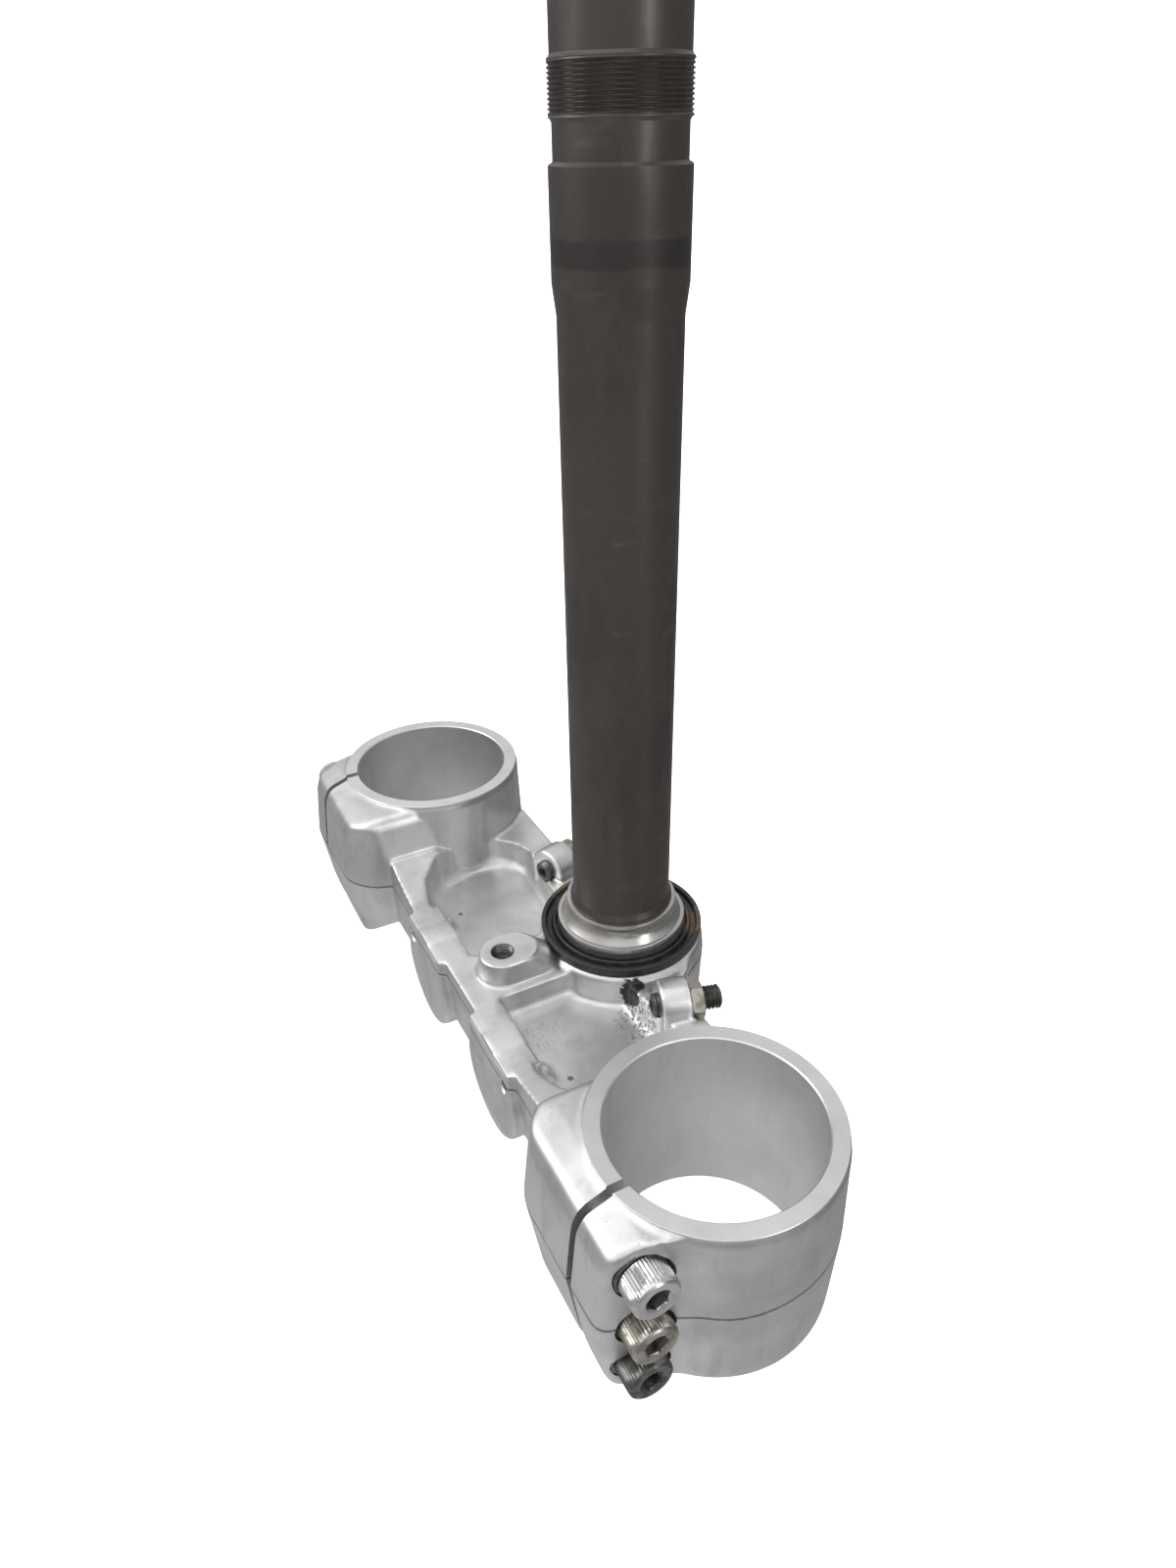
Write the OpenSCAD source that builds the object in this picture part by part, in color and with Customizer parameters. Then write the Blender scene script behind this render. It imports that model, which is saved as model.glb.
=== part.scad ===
// Lower triple clamp of an off-road motorcycle, with its steering stem pressed in.
// Millimetres. The origin lies on the stem axis in the plane of the clamp's underside,
// +Z runs up the stem, -Y is the front of the motorcycle and +X is the rider's left.
// Lengths along the clamp are given for the left half, and the right half mirrors it.

/* [Fork collars] */
// Bore of a fork collar, the diameter of the fork tube that it grips
fork_bore_d = 59; // [57:0.5:60]
// Distance between the two fork axes
fork_spacing = 208.8; // [204:0.2:214]
// Distance of the fork axes ahead of the stem axis
fork_offset = 30.3; // [28:0.1:32]
// Height of a fork collar from the underside to its machined top ring
collar_h = 60; // [58:0.5:64]
// Wall of a fork collar at the machined top ring
collar_wall = 4.9; // [4.4:0.1:5.6]
// Wall that the forging draft adds between the top ring and the parting line
collar_draft = 1.2; // [0.6:0.1:1.8]
// Step from the machined top ring down to the forged skin
ring_step = 0.8; // [0.4:0.1:1.4]
// Chamfer at both mouths of a fork bore
bore_chamfer = 0.7; // [0.3:0.1:1]
// Rounding of the lower outer edge of a fork collar
foot_round = 3; // [1.5:0.5:4]
// Height of the forging's parting line above the underside
parting_z = 31; // [29:0.5:33]

/* [Pinch lugs] */
// Distance of a pinch lug's front face ahead of its screws
lug_nose_wall = 12; // [11.4:0.1:13]
// Radius of the lug's front inner corner seen from above
lug_corner = 17; // [14:0.5:18]
// Radius of the lug's front outer corner seen from above
lug_nose = 4.5; // [2:0.5:6]
// Slant of the lug's outer face, in degrees from the direction of travel
lug_slant = 15; // [13:0.5:18]
// Distance of the lug's outer face from the fork axis, at the screws
lug_face = 23.6; // [23:0.1:25]
// Distance that the lug's front face leans back from the parting line to the underside
lug_lean = 4.2; // [2:0.1:6]
// Distance that the lug's front face leans back from the parting line to the top
lug_lean_top = 2.8; // [1:0.1:4]
// Radius of the hollow that blends the lug's outer face into the collar
lug_blend = 40; // [30:1:60]
// Rounding of the lug's upper side edges
lug_round = 12; // [10:0.5:13]
// Rounding of the lug's lower edges
lug_foot = 5; // [3:0.5:6]
// Height of the bevel along the lug's lower inner edge
lug_bevel_h = 13; // [8:0.5:15]
// Width of the bevel along the lug's lower inner edge
lug_bevel_w = 12; // [8:0.5:14]
// Draft of the lug's inner side from the parting line to its upper rounding
lug_draft = 3; // [2:0.1:4]
// Distance of the pinch slit outboard of the fork axis
slit_x = 5.1; // [3.5:0.1:6]
// Width of the pinch slit
slit_w = 2.6; // [2:0.1:3.2]

/* [Pinch screws] */
// Nominal thread diameter of the pinch screws
screw_d = 8; // [7:0.5:8.5]
// Length of a pinch screw under its head
screw_len = 30; // [28:1:32]
// Diameter of a socket head
head_d = 13; // [12:0.5:13.5]
// Height of a socket head
head_h = 8; // [7:0.5:9]
// Width across the flats of the hexagon socket
socket_af = 6; // [5:0.5:7]
// Depth of the hexagon socket
socket_depth = 4.5; // [3:0.5:5]
// Outer diameter of the ring under a screw head
washer_d = 14.6; // [14.2:0.1:15]
// Thickness of the ring under a screw head
washer_t = 1.6; // [1:0.1:2.2]
// Depth of a screw's flat seat below the lug's outer face
seat_depth = 4; // [3:0.1:5]
// Distance that the bottom screw's seat lies deeper than the two above it
low_seat_in = 1.8; // [0:0.1:2]
// Wall left between a screw's nominal diameter and the fork bore
screw_wall = 0.6; // [0.4:0.1:1.2]
// Distance of the top screw below the top ring
screw_drop = 11.8; // [11.4:0.1:12.6]
// Spacing of the three screws
screw_pitch = 18.5; // [17.5:0.1:19]
// Clearance of a seat around its ring, on the radius
seat_gap = 0.25; // [0.2:0.05:0.4]
// Clearance of a plain screw hole, on the radius
hole_gap = 0.25; // [0.15:0.05:0.4]
// Clearance of a screw in its tapped hole, on the radius
thread_gap = 0.05; // [0.03:0.01:0.1]

/* [Bridge] */
// Distance of the bridge's front face ahead of the stem axis
bridge_front = 62; // [60:0.5:63]
// Distance of the bridge's rear edge behind the stem axis
bridge_rear = 1; // [0:0.5:3]
// Height of the front rail at mid span
rail_z = 36.4; // [35.4:0.2:37.4]
// Height of the rear rail
rear_rail_z = 38; // [37:0.2:39]
// Height of the front rail where it meets a lug
rail_end_z = 42; // [40:0.2:43]
// Height of the pocket floors
floor_z = 26.8; // [25:0.2:28]
// Thickness of the web under the pocket floors
web_t = 8; // [6:0.5:10]
// Height of the bridge's underside between the pads
under_z = 8.5; // [6:0.5:10]
// Width of the front rail at mid span
rail_w = 7; // [6:0.5:8]
// Half width of the middle rib between the two pockets
rib_w = 11; // [10:0.5:12.5]
// Radius of the pocket corners
pocket_corner = 5; // [3:0.5:6]
// Fillet between a pocket's floor and its walls
pocket_fillet = 3; // [2:0.5:4]

/* [Front pads and tapped bosses] */
// Distance of a pad's middle from the centre plane
pad_x = 29; // [28:0.5:31]
// Width of a pad at its widest
pad_w = 37; // [34:0.5:38]
// Width of a pad at the top of the rail
pad_top_w = 30.4; // [26:0.2:32]
// Distance that a pad stands out of the bridge's front face
pad_out = 2.2; // [1.5:0.1:3]
// Thickness of a pad from front to back
pad_t = 12; // [10:0.5:14]
// Distance of a pad's tapped hole outboard of the pad's middle
pad_hole_out = 11.7; // [10:0.1:12]
// Height of the tapped holes in the pads
pad_hole_z = 28.7; // [27:0.1:30]
// Tapping diameter of the pad holes
pad_hole_d = 5; // [4:0.1:6]
// Depth of the pad holes
pad_hole_depth = 14; // [10:1:16]
// Distance of the centre boss ahead of the stem axis
boss_ahead = 45.5; // [44:0.5:47]
// Radius of the centre boss at its machined top
boss_r = 7.9; // [7:0.1:8.5]
// Length that the centre boss's flat top runs back from its hole
boss_back = 4.5; // [3:0.5:7]
// Height of the centre boss
boss_z = 44.4; // [43:0.2:46]
// Tapping diameter of the centre boss hole
boss_hole_d = 6.8; // [6:0.1:7.5]
// Depth of the centre boss hole
boss_hole_depth = 20; // [16:1:24]

/* [Stem boss] */
// Wall of the stem boss around the stem, at its top
hub_wall = 10.5; // [10:0.5:11.5]
// Radius that the forging draft adds to the stem boss at the parting line
hub_draft = 1.2; // [0.6:0.1:2]
// Height of the stem boss
hub_z = 38; // [37:0.2:40]

/* [Steering stem] */
// Outer diameter of the stem at its two bearing seats
seat_d = 35; // [34:0.5:36]
// Depth of the plain tube below the bearing seats, on the radius
tube_step = 1; // [0.6:0.1:1.4]
// Wall of the plain tube
stem_wall = 4; // [3:0.1:5]
// Radius that the foot shoulder stands out of the stem
foot_step = 2.5; // [2:0.1:4]
// Height of the foot shoulder
foot_h = 5; // [3:0.5:7]
// Height at which the plain tube ends and the upper taper begins
tube_top_z = 238; // [230:1:245]
// Length of the upper taper
taper_h = 7.4; // [5:0.2:10]
// Length of the upper bearing seat
upper_seat_h = 25.9; // [22:0.1:30]
// Length of the groove below the thread
groove_h = 9.1; // [6:0.1:12]
// Depth of the groove below the thread, on the radius
groove_depth = 1.14; // [0.8:0.02:1.4]
// Length of the adjuster thread
thread_h = 11.4; // [9:0.1:14]
// Depth of the thread's crest below the bearing seat, on the radius
thread_drop = 0.25; // [0.1:0.05:0.4]
// Length of the plain journal above the thread
journal_h = 31; // [26:1:40]
// Chamfer at the stem's upper end
stem_chamfer = 1.2; // [0.6:0.1:1.6]
// Clearance of a pressed joint, on the radius
press_gap = 0.02; // [0.01:0.01:0.03]

/* [Lower bearing race and seal] */
// Wall of the race at its large rib
race_wall = 4.7; // [4:0.1:5.4]
// Wall of the race at its small end
race_top_wall = 1.4; // [1:0.1:1.7]
// Height of the race
race_h = 13; // [12:0.2:15]
// Height of the race's large rib
race_rib_h = 6.2; // [5:0.2:7]
// Depth that the roller track is hollowed below a straight cone
track_depth = 0.9; // [0.5:0.1:1.1]
// Distance that the dust seal stands out over the top of the stem boss
seal_over = 0.2; // [0:0.1:0.6]
// Thickness of the seal's flat base under the race
seal_base_t = 1; // [0.6:0.1:1.4]
// Height of the seal's lips above the stem boss
seal_h = 3.6; // [3:0.1:4.4]
// Running gap between the race and the seal's inner lip
seal_gap = 0.6; // [0.3:0.1:1]
// Thickness of a seal lip
lip_t = 1.3; // [1:0.1:1.5]

/* [Steering stops] */
// Distance of a stop boss's rear face from the centre plane, along the screw axis
stop_x = 44.1; // [43:0.1:46]
// Distance of the stop boss's rear face behind the stem axis, along the screw axis
stop_y = 0; // [-1:0.1:1]
// Height of the stop screws
stop_z = 38.2; // [37.6:0.1:39]
// Direction of a stop screw in plan, in degrees from straight outboard
stop_angle = 73.4; // [70:0.2:78]
// Radius of a stop boss around its screw
stop_boss_r = 8.2; // [7.8:0.1:9]
// Length of a stop boss along its screw
stop_boss_len = 9.7; // [8:0.1:11]
// Nominal thread diameter of the stop screws
stop_d = 8; // [7:0.5:8.5]
// Length of a stop screw
stop_len = 23; // [21:0.5:26]
// Length of the socket end that stands out of the stop boss
stop_front = 2.4; // [1:0.1:3.5]
// Width across the flats of the stop screw's socket
stop_socket_af = 4; // [3:0.5:4.5]
// Width across the flats of the lock nut
nut_af = 13; // [12:0.5:14]
// Thickness of the lock nut
nut_t = 4.2; // [3.5:0.1:5]

/* [Hidden] */
$fn = 96;
// Overlap of cutting tools past the faces that they open
eps = 1;
left = 1;
right = -1;
top = 0;
middle = 1;
bottom = 2;

bore_r = fork_bore_d / 2;
screw_r = screw_d / 2;
screw_ahead = bore_r + screw_r + screw_wall;
lug_reach = screw_ahead + lug_nose_wall;
ring_r = bore_r + collar_wall;
skin_r = ring_r + collar_draft;
skin_z = collar_h - ring_step;
fork_x = fork_spacing / 2;
lug_top_z = collar_h - ring_step - 0.4;
lug_side_z = lug_top_z - lug_round;
// Distance of the lug's outer face from the fork axis, square to that face
face_out = lug_face * cos(lug_slant) + screw_ahead * sin(lug_slant);
blend_ahead = sqrt((skin_r + lug_blend) ^ 2 - (face_out + lug_blend) ^ 2);
blend_x = (face_out + lug_blend) * cos(lug_slant) - blend_ahead * sin(lug_slant);
blend_y = -(face_out + lug_blend) * sin(lug_slant) - blend_ahead * cos(lug_slant);
blend_share = skin_r / (skin_r + lug_blend);
slit_out = slit_x + slit_w / 2;
slit_in = slit_x - slit_w / 2;
tapped_r = screw_r + thread_gap;
plain_r = screw_r + hole_gap;
counterbore_r = washer_d / 2 + seat_gap;
seat_x = lug_face - seat_depth;
tapped_end_x = seat_x - low_seat_in + washer_t - screw_len - 2;

pad_r = pad_w / 2;
floor_bottom_z = floor_z - web_t;

seat_r = seat_d / 2;
tube_r = seat_r - tube_step;
stem_bore_r = tube_r - stem_wall;
hub_r = seat_r + hub_wall;
race_r = seat_r + race_wall;
race_top_r = seat_r + race_top_wall;
seal_r = hub_r + seal_over;
press_r = seat_r + press_gap;
race_z = hub_z + seal_base_t;
race_top_z = race_z + race_h;
taper_top_z = tube_top_z + taper_h;
groove_z = taper_top_z + upper_seat_h;
thread_z = groove_z + groove_h;
journal_z = thread_z + thread_h;
stem_top_z = journal_z + journal_h;

stop_r = stop_d / 2;
stop_tapped_r = stop_r + thread_gap;

// Points of an arc round (cx, cy), from angle a0 to angle a1 in n steps
function arc(cx, cy, r, a0, a1, n = 8) =
    [for (i = [0:n]) let (a = a0 + (a1 - a0) * i / n) [cx + r * cos(a), cy + r * sin(a)]];

// Height of a pinch screw, counted from the top one
function pinch_z(row) = collar_h - screw_drop - row * screw_pitch;

// Distance of a screw's seat from the fork axis
function seat_at(row) = seat_x - (row == bottom ? low_seat_in : 0);

// Distance of the lug's outer face from the fork axis, y ahead (-) of that axis
function lug_face_at(y) = lug_face + tan(lug_slant) * (y + screw_ahead);

// Places children on one side of the clamp
module on_side(side) {
    mirror([side < 0 ? 1 : 0, 0, 0]) children();
}

// Places children on the left fork axis
module at_fork() {
    translate([fork_x, -fork_offset, 0]) children();
}

// Outside of one fork collar: machined ring, drafted skin and rounded foot
module collar_body() {
    rotate_extrude()
        polygon(concat(
            [[0, 0]],
            arc(ring_r - foot_round, foot_round, foot_round, -90, 0),
            [[skin_r, parting_z], [skin_r - collar_draft * 0.6, skin_z - 3]],
            arc(ring_r - 1.4, skin_z - 2, 2, 10, 90, 5),
            [[ring_r, skin_z], [ring_r, collar_h], [0, collar_h]]
        ));
}

// Plan of one pinch lug at the parting line, seen from above with the fork axis at the origin
module lug_plan() {
    nose_y = -lug_reach + lug_nose;
    nose_x = lug_face_at(nose_y) - lug_nose;
    polygon(concat(
        [[0, 0], [-skin_r + 0.6, 0]],
        arc(-skin_r + 0.6 + lug_corner, -lug_reach + lug_corner, lug_corner, 180, 270, 10),
        arc(nose_x, nose_y, lug_nose, 270, 360 - lug_slant, 6),
        arc(blend_x, blend_y, lug_blend, 180 - lug_slant, 180 + atan2(blend_y, blend_x), 5),
        [[0, blend_y * blend_share]]
    ));
}

// Side view of one pinch lug, front to the left: rounded foot, crest and sloping top
module lug_side() {
    foot_y = -lug_reach + lug_lean;
    crest_y = -lug_reach + lug_lean_top;
    polygon(concat(
        [[0, 0]],
        arc(foot_y + lug_foot - 0.4, lug_foot, lug_foot, 270, 180, 5),
        [[-lug_reach - eps, parting_z], [-lug_reach - eps, lug_top_z - 8]],
        arc(crest_y + 4.6, lug_top_z - 6.2, 4.4, 180, 115, 5),
        [[-ring_r, lug_top_z], [0, lug_top_z]]
    ));
}

// Front view of one pinch lug, with its side edges rounded and its lower inner edge bevelled
module lug_front() {
    inner = -skin_r;
    outer = blend_x * blend_share + 1.5;
    polygon(concat(
        [[inner + 1.6 * lug_bevel_w, 0], [inner + lug_bevel_w, lug_bevel_h / 3]],
        [[inner + lug_bevel_w / 6, lug_bevel_h], [inner, parting_z]],
        arc(inner + lug_draft + lug_round, lug_side_z, lug_round, 180, 90),
        arc(outer - 1.5 - lug_round / 2, lug_top_z - lug_round / 2, lug_round / 2, 90, 0),
        [[outer + 1, parting_z]],
        arc(outer - 1.8 - lug_foot / 2, lug_foot / 2, lug_foot / 2, 0, -90, 5)
    ));
}

// One pinch lug: drafted both ways from the parting line, within its side and front views
module lug_body() {
    top_scale = 1 - lug_lean_top / lug_reach;
    foot_scale = 1 - lug_lean / lug_reach;
    intersection() {
        translate([0, 0, parting_z]) {
            linear_extrude(collar_h - parting_z, scale = top_scale) lug_plan();
            mirror([0, 0, 1]) linear_extrude(parting_z, scale = foot_scale) lug_plan();
        }
        translate([-skin_r - eps, 0, 0])
            rotate([90, 0, 90]) linear_extrude(2 * skin_r + 2 * eps) lug_side();
        rotate([90, 0, 0]) linear_extrude(lug_reach + eps) lug_front();
    }
}

// Fork bore with both mouth chamfers
module fork_bore() {
    translate([0, 0, -eps]) cylinder(h = collar_h + 2 * eps, r = bore_r);
    translate([0, 0, collar_h - bore_chamfer])
        cylinder(h = bore_chamfer + eps, r1 = bore_r, r2 = bore_r + bore_chamfer + eps);
    translate([0, 0, -eps])
        cylinder(h = bore_chamfer + eps, r1 = bore_r + bore_chamfer + eps, r2 = bore_r);
}

// Slit that lets one lug close on the fork
module pinch_slit() {
    translate([slit_in, -lug_reach - eps, -eps])
        cube([slit_w, lug_reach + eps, collar_h + 2 * eps]);
}

// Counterbore, plain hole and tapped hole of one pinch screw
module pinch_hole(row) {
    translate([0, -screw_ahead, pinch_z(row)]) rotate([0, 90, 0]) {
        translate([0, 0, seat_at(row)]) cylinder(h = skin_r, r = counterbore_r);
        translate([0, 0, slit_x]) cylinder(h = seat_x - slit_x, r = plain_r);
        translate([0, 0, tapped_end_x]) cylinder(h = slit_x - tapped_end_x, r = tapped_r);
    }
}

// Plan of the bridge between the collars, left half
module bridge_plan() {
    inner_x = stop_x - stop_boss_r + 1;
    polygon([
        [0, -bridge_front], [fork_x - skin_r + 8, -bridge_front],
        [fork_x - bore_r + 10, -fork_offset - 14], [fork_x - bore_r + 10, bridge_rear],
        [inner_x, bridge_rear], [hub_r - 3, hub_r / 2], [0, hub_r / 2]
    ]);
}

// Section of the bridge from front to back, with the drafted front face
module bridge_section() {
    polygon(concat(
        [[hub_r, under_z], [-bridge_front + 3.5, under_z], [-bridge_front + 1.2, under_z + 2.5]],
        [[-bridge_front, parting_z]],
        arc(-bridge_front + 2.4, rail_end_z - 2, 2, 175, 90, 5),
        [[-fork_offset - 14, rail_end_z], [-fork_offset - 3, rear_rail_z], [hub_r, rear_rail_z]]
    ));
}

// Front view of the bridge, left half: the rail rises towards the lug
module bridge_front_view() {
    pad_end = pad_x + pad_r;
    end_x = fork_x - bore_r + 12;
    polygon([
        [0, under_z], [pad_end + 8, under_z], [fork_x - skin_r, under_z - 2],
        [end_x, under_z - 2], [end_x, rail_end_z], [fork_x - skin_r + 2, rail_end_z],
        [pad_end + 1, rail_z + 0.4], [pad_end - 8, rail_z - 0.2], [0, rail_z]
    ]);
}

// Plan of one pocket in the bridge, seen from above
module pocket_plan() {
    inner_y = -bridge_front + rail_w;
    collar_x = fork_x - skin_r;
    offset(r = pocket_corner, $fn = 24) offset(delta = -pocket_corner)
        polygon([
            [rib_w, inner_y], [pad_x + 9, inner_y - 0.7], [pad_x + 18, inner_y - 0.5],
            [collar_x - 11, inner_y + 2.5], [collar_x - 1.5, inner_y + 10.5],
            [collar_x + 1.5, inner_y + 19], [collar_x + 4, -fork_offset + 3],
            [collar_x + 1, -17.5 + bridge_rear], [collar_x - 5, -12.5 + bridge_rear],
            [collar_x - 11, -10.2 + bridge_rear], [stop_x, -11 + bridge_rear],
            [hub_r * 0.7, -hub_r * 0.43], [rib_w, -hub_r * 0.8]
        ]);
}

// Volume cut for one pocket: filleted foot and drafted wall, from z0 away along dir
module pocket(z0, depth, dir) {
    middle_x = (rib_w + fork_x - skin_r) / 2;
    middle_y = (-bridge_front + rail_w - 9) / 2;
    foot = 1 - pocket_fillet / 20;
    wall = 1 - pocket_fillet / 60;
    translate([middle_x, middle_y, z0]) mirror([0, 0, dir < 0 ? 1 : 0]) {
        linear_extrude(pocket_fillet, scale = wall / foot)
            scale([foot, foot]) translate([-middle_x, -middle_y]) pocket_plan();
        translate([0, 0, pocket_fillet - 0.01])
            linear_extrude(depth - pocket_fillet + eps, scale = 1 / wall)
                scale([wall, wall]) translate([-middle_x, -middle_y]) pocket_plan();
    }
}

// Bridge with its rails, web, and the pockets above and below the web
module bridge_body() {
    difference() {
        for (side = [left, right]) on_side(side)
            intersection() {
                translate([0, 0, -eps]) linear_extrude(collar_h) bridge_plan();
                rotate([90, 0, 90]) linear_extrude(fork_x) bridge_section();
                translate([0, hub_r, 0]) rotate([90, 0, 0])
                    linear_extrude(bridge_front + 2 * hub_r) bridge_front_view();
            }
        for (side = [left, right]) on_side(side) {
            pocket(floor_z, rail_end_z - floor_z, 1);
            pocket(floor_bottom_z, floor_bottom_z - under_z + 2, -1);
        }
    }
}

// Outline of one front pad: a lobe that hangs below the rail to the underside
module pad_outline() {
    circle(r = pad_r);
    polygon([
        [-pad_r + 0.3, 3], [-pad_top_w / 2, rail_z - 0.4 - pad_r],
        [pad_top_w / 2, rail_z - 0.4 - pad_r], [pad_r - 0.3, 3]
    ]);
}

module pads() {
    front = -bridge_front - pad_out;
    for (side = [left, right]) on_side(side)
        translate([pad_x, front + pad_t, pad_r])
            rotate([90, 0, 0]) linear_extrude(pad_t) pad_outline();
}

// Centre boss: a drafted stadium whose back slopes down into the stem boss
module centre_boss() {
    flank = (boss_z - rail_z) * 0.18;
    hull() {
        for (y = [-boss_ahead, -hub_r - 5])
            translate([0, y, floor_z]) cylinder(h = rail_z - floor_z, r = boss_r + flank, $fn = 32);
        for (y = [-boss_ahead, -boss_ahead + boss_back])
            translate([0, y, floor_z]) cylinder(h = boss_z - floor_z, r = boss_r, $fn = 32);
    }
}

// Stem boss with draft both ways from the parting line
module stem_boss() {
    rotate_extrude()
        polygon([
            [0, 0], [hub_r - 2, 0], [hub_r, 2], [hub_r + hub_draft, parting_z],
            [hub_r + 0.6, hub_z - 1.4], [hub_r - 0.4, hub_z], [0, hub_z]
        ]);
}

// Places children on a stop screw's axis: local Z runs to the rear, 0 at the boss face
module at_stop(side) {
    on_side(side)
        translate([stop_x, stop_y, stop_z]) rotate([0, 0, stop_angle]) rotate([0, 90, 0])
            children();
}

// Round-topped boss that carries one stop screw
module stop_boss(side) {
    at_stop(side) translate([0, 0, -stop_boss_len]) {
        cylinder(h = stop_boss_len, r = stop_boss_r);
        translate([0, -stop_boss_r, 0])
            cube([stop_z - floor_bottom_z, 2 * stop_boss_r, stop_boss_len]);
    }
}

// The forging before any hole is cut
module clamp_body() {
    for (side = [left, right]) {
        on_side(side) at_fork() {
            collar_body();
            lug_body();
        }
        stop_boss(side);
    }
    bridge_body();
    pads();
    centre_boss();
    stem_boss();
}

// Bore of the stem boss, with the counterbore for the stem's foot shoulder
module stem_hole() {
    translate([0, 0, -eps]) {
        cylinder(h = hub_z + 2 * eps, r = press_r);
        cylinder(h = foot_h + eps, r = seat_r + foot_step + press_gap);
    }
}

module lower_clamp() {
    color("silver") difference() {
        clamp_body();
        for (side = [left, right]) {
            on_side(side) at_fork() {
                fork_bore();
                pinch_slit();
                for (row = [top, middle, bottom]) pinch_hole(row);
            }
            on_side(side)
                translate([pad_x + pad_hole_out, -bridge_front - pad_out - eps, pad_hole_z])
                    rotate([-90, 0, 0]) cylinder(h = pad_hole_depth + eps, r = pad_hole_d / 2);
            at_stop(side) {
                cylinder(h = 4 * nut_t, r = nut_af / 2 / cos(30) + 0.5);
                translate([0, 0, -stop_boss_len - eps])
                    cylinder(h = stop_boss_len + 2 * eps, r = stop_tapped_r);
            }
        }
        stem_hole();
        translate([0, 0, hub_z]) cylinder(h = collar_h, r = seal_r + 0.4);
        translate([0, -boss_ahead, boss_z - boss_hole_depth])
            cylinder(h = boss_hole_depth + eps, r = boss_hole_d / 2);
    }
}

// Hollow stem: foot shoulder, two bearing seats, groove, thread blank and journal
module steering_stem() {
    foot_r = seat_r + foot_step;
    thread_r = seat_r - thread_drop;
    groove_r = seat_r - groove_depth;
    color("dimgray") difference() {
        rotate_extrude()
            polygon([
                [0, 0], [foot_r - 0.5, 0], [foot_r, 0.5], [foot_r, foot_h],
                [seat_r, foot_h], [seat_r, race_top_z + 1], [tube_r, race_top_z + 3],
                [tube_r, tube_top_z], [seat_r, taper_top_z], [seat_r, groove_z - 0.5],
                [seat_r - 0.5, groove_z], [groove_r, groove_z], [groove_r, thread_z - 0.8],
                [thread_r, thread_z], [thread_r, journal_z], [tube_r, journal_z + 0.8],
                [tube_r, stem_top_z - stem_chamfer], [tube_r - stem_chamfer, stem_top_z],
                [0, stem_top_z]
            ]);
        translate([0, 0, -eps]) cylinder(h = stem_top_z + 2 * eps, r = stem_bore_r);
    }
}

// Inner race of the lower steering bearing, with its hollowed conical track
module bearing_race() {
    rib_z = race_z + race_rib_h;
    foot_r = race_r - 1.4;
    run_h = race_top_z - 1 - rib_z;
    steps = 10;
    track = [for (i = [0:steps]) let (t = i / steps)
        [foot_r + (race_top_r - foot_r) * t - track_depth * sin(180 * t), rib_z + run_h * t]];
    color("lightgray") rotate_extrude()
        polygon(concat(
            [[press_r, race_z], [race_r - 0.4, race_z], [race_r, race_z + 0.4]],
            [[race_r, rib_z - 0.4], [race_r - 0.4, rib_z]],
            track,
            [[race_top_r, race_top_z - 0.4], [race_top_r - 0.4, race_top_z]],
            [[press_r, race_top_z]]
        ));
}

// Rubber dust seal: flat base under the race, a groove and two lips
module dust_seal() {
    lip_z = hub_z + seal_h;
    lip_in = race_r + seal_gap;
    base_z = hub_z + seal_base_t;
    color("black") rotate_extrude()
        polygon([
            [press_r, hub_z], [hub_r - 0.6, hub_z], [hub_r - 0.6, hub_z + 0.4],
            [seal_r, hub_z + 0.9], [seal_r, lip_z - 0.4], [seal_r - 0.4, lip_z],
            [seal_r - lip_t, lip_z], [seal_r - lip_t - 0.6, base_z + 0.6],
            [lip_in + lip_t + 0.5, base_z + 0.6], [lip_in + lip_t, lip_z - 0.7],
            [lip_in, lip_z - 0.5], [lip_in, base_z], [press_r, base_z]
        ]);
}

// Places children on a pinch screw's axis: local Z runs outboard, 0 at the screw's seat
module at_pinch(side, row) {
    on_side(side) at_fork()
        translate([seat_at(row), -screw_ahead, pinch_z(row)]) rotate([0, 90, 0]) children();
}

// Socket head screw that closes a lug
module pinch_screw(side, row) {
    at_pinch(side, row) translate([0, 0, washer_t])
        difference() {
            union() {
                translate([0, 0, -screw_len + 1]) cylinder(h = screw_len - 1, r = screw_r);
                translate([0, 0, -screw_len]) cylinder(h = 1, r1 = screw_r - 1, r2 = screw_r);
                cylinder(h = head_h - 0.6, r = head_d / 2);
                translate([0, 0, head_h - 0.6])
                    cylinder(h = 0.6, r1 = head_d / 2, r2 = head_d / 2 - 0.6);
            }
            translate([0, 0, head_h - socket_depth])
                cylinder(h = socket_depth + eps, d = socket_af / cos(30), $fn = 6);
        }
}

// Flat ring under a screw head
module pinch_washer(side, row) {
    at_pinch(side, row) difference() {
        union() {
            cylinder(h = washer_t - 0.4, r = washer_d / 2);
            translate([0, 0, washer_t - 0.4])
                cylinder(h = 0.4, r1 = washer_d / 2, r2 = washer_d / 2 - 0.4);
        }
        translate([0, 0, -eps]) cylinder(h = washer_t + 2 * eps, r = plain_r);
    }
}

// Threaded pin that limits the steering on one side
module stop_screw(side) {
    color("gray") at_stop(side) translate([0, 0, -stop_boss_len - stop_front])
        difference() {
            union() {
                cylinder(h = 0.8, r1 = stop_r - 0.8, r2 = stop_r);
                translate([0, 0, 0.8]) cylinder(h = stop_len - 1.6, r = stop_r);
                translate([0, 0, stop_len - 0.8])
                    cylinder(h = 0.8, r1 = stop_r, r2 = stop_r - 0.8);
            }
            translate([0, 0, -eps])
                cylinder(h = stop_front + 2 + eps, d = stop_socket_af / cos(30), $fn = 6);
        }
}

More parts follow.
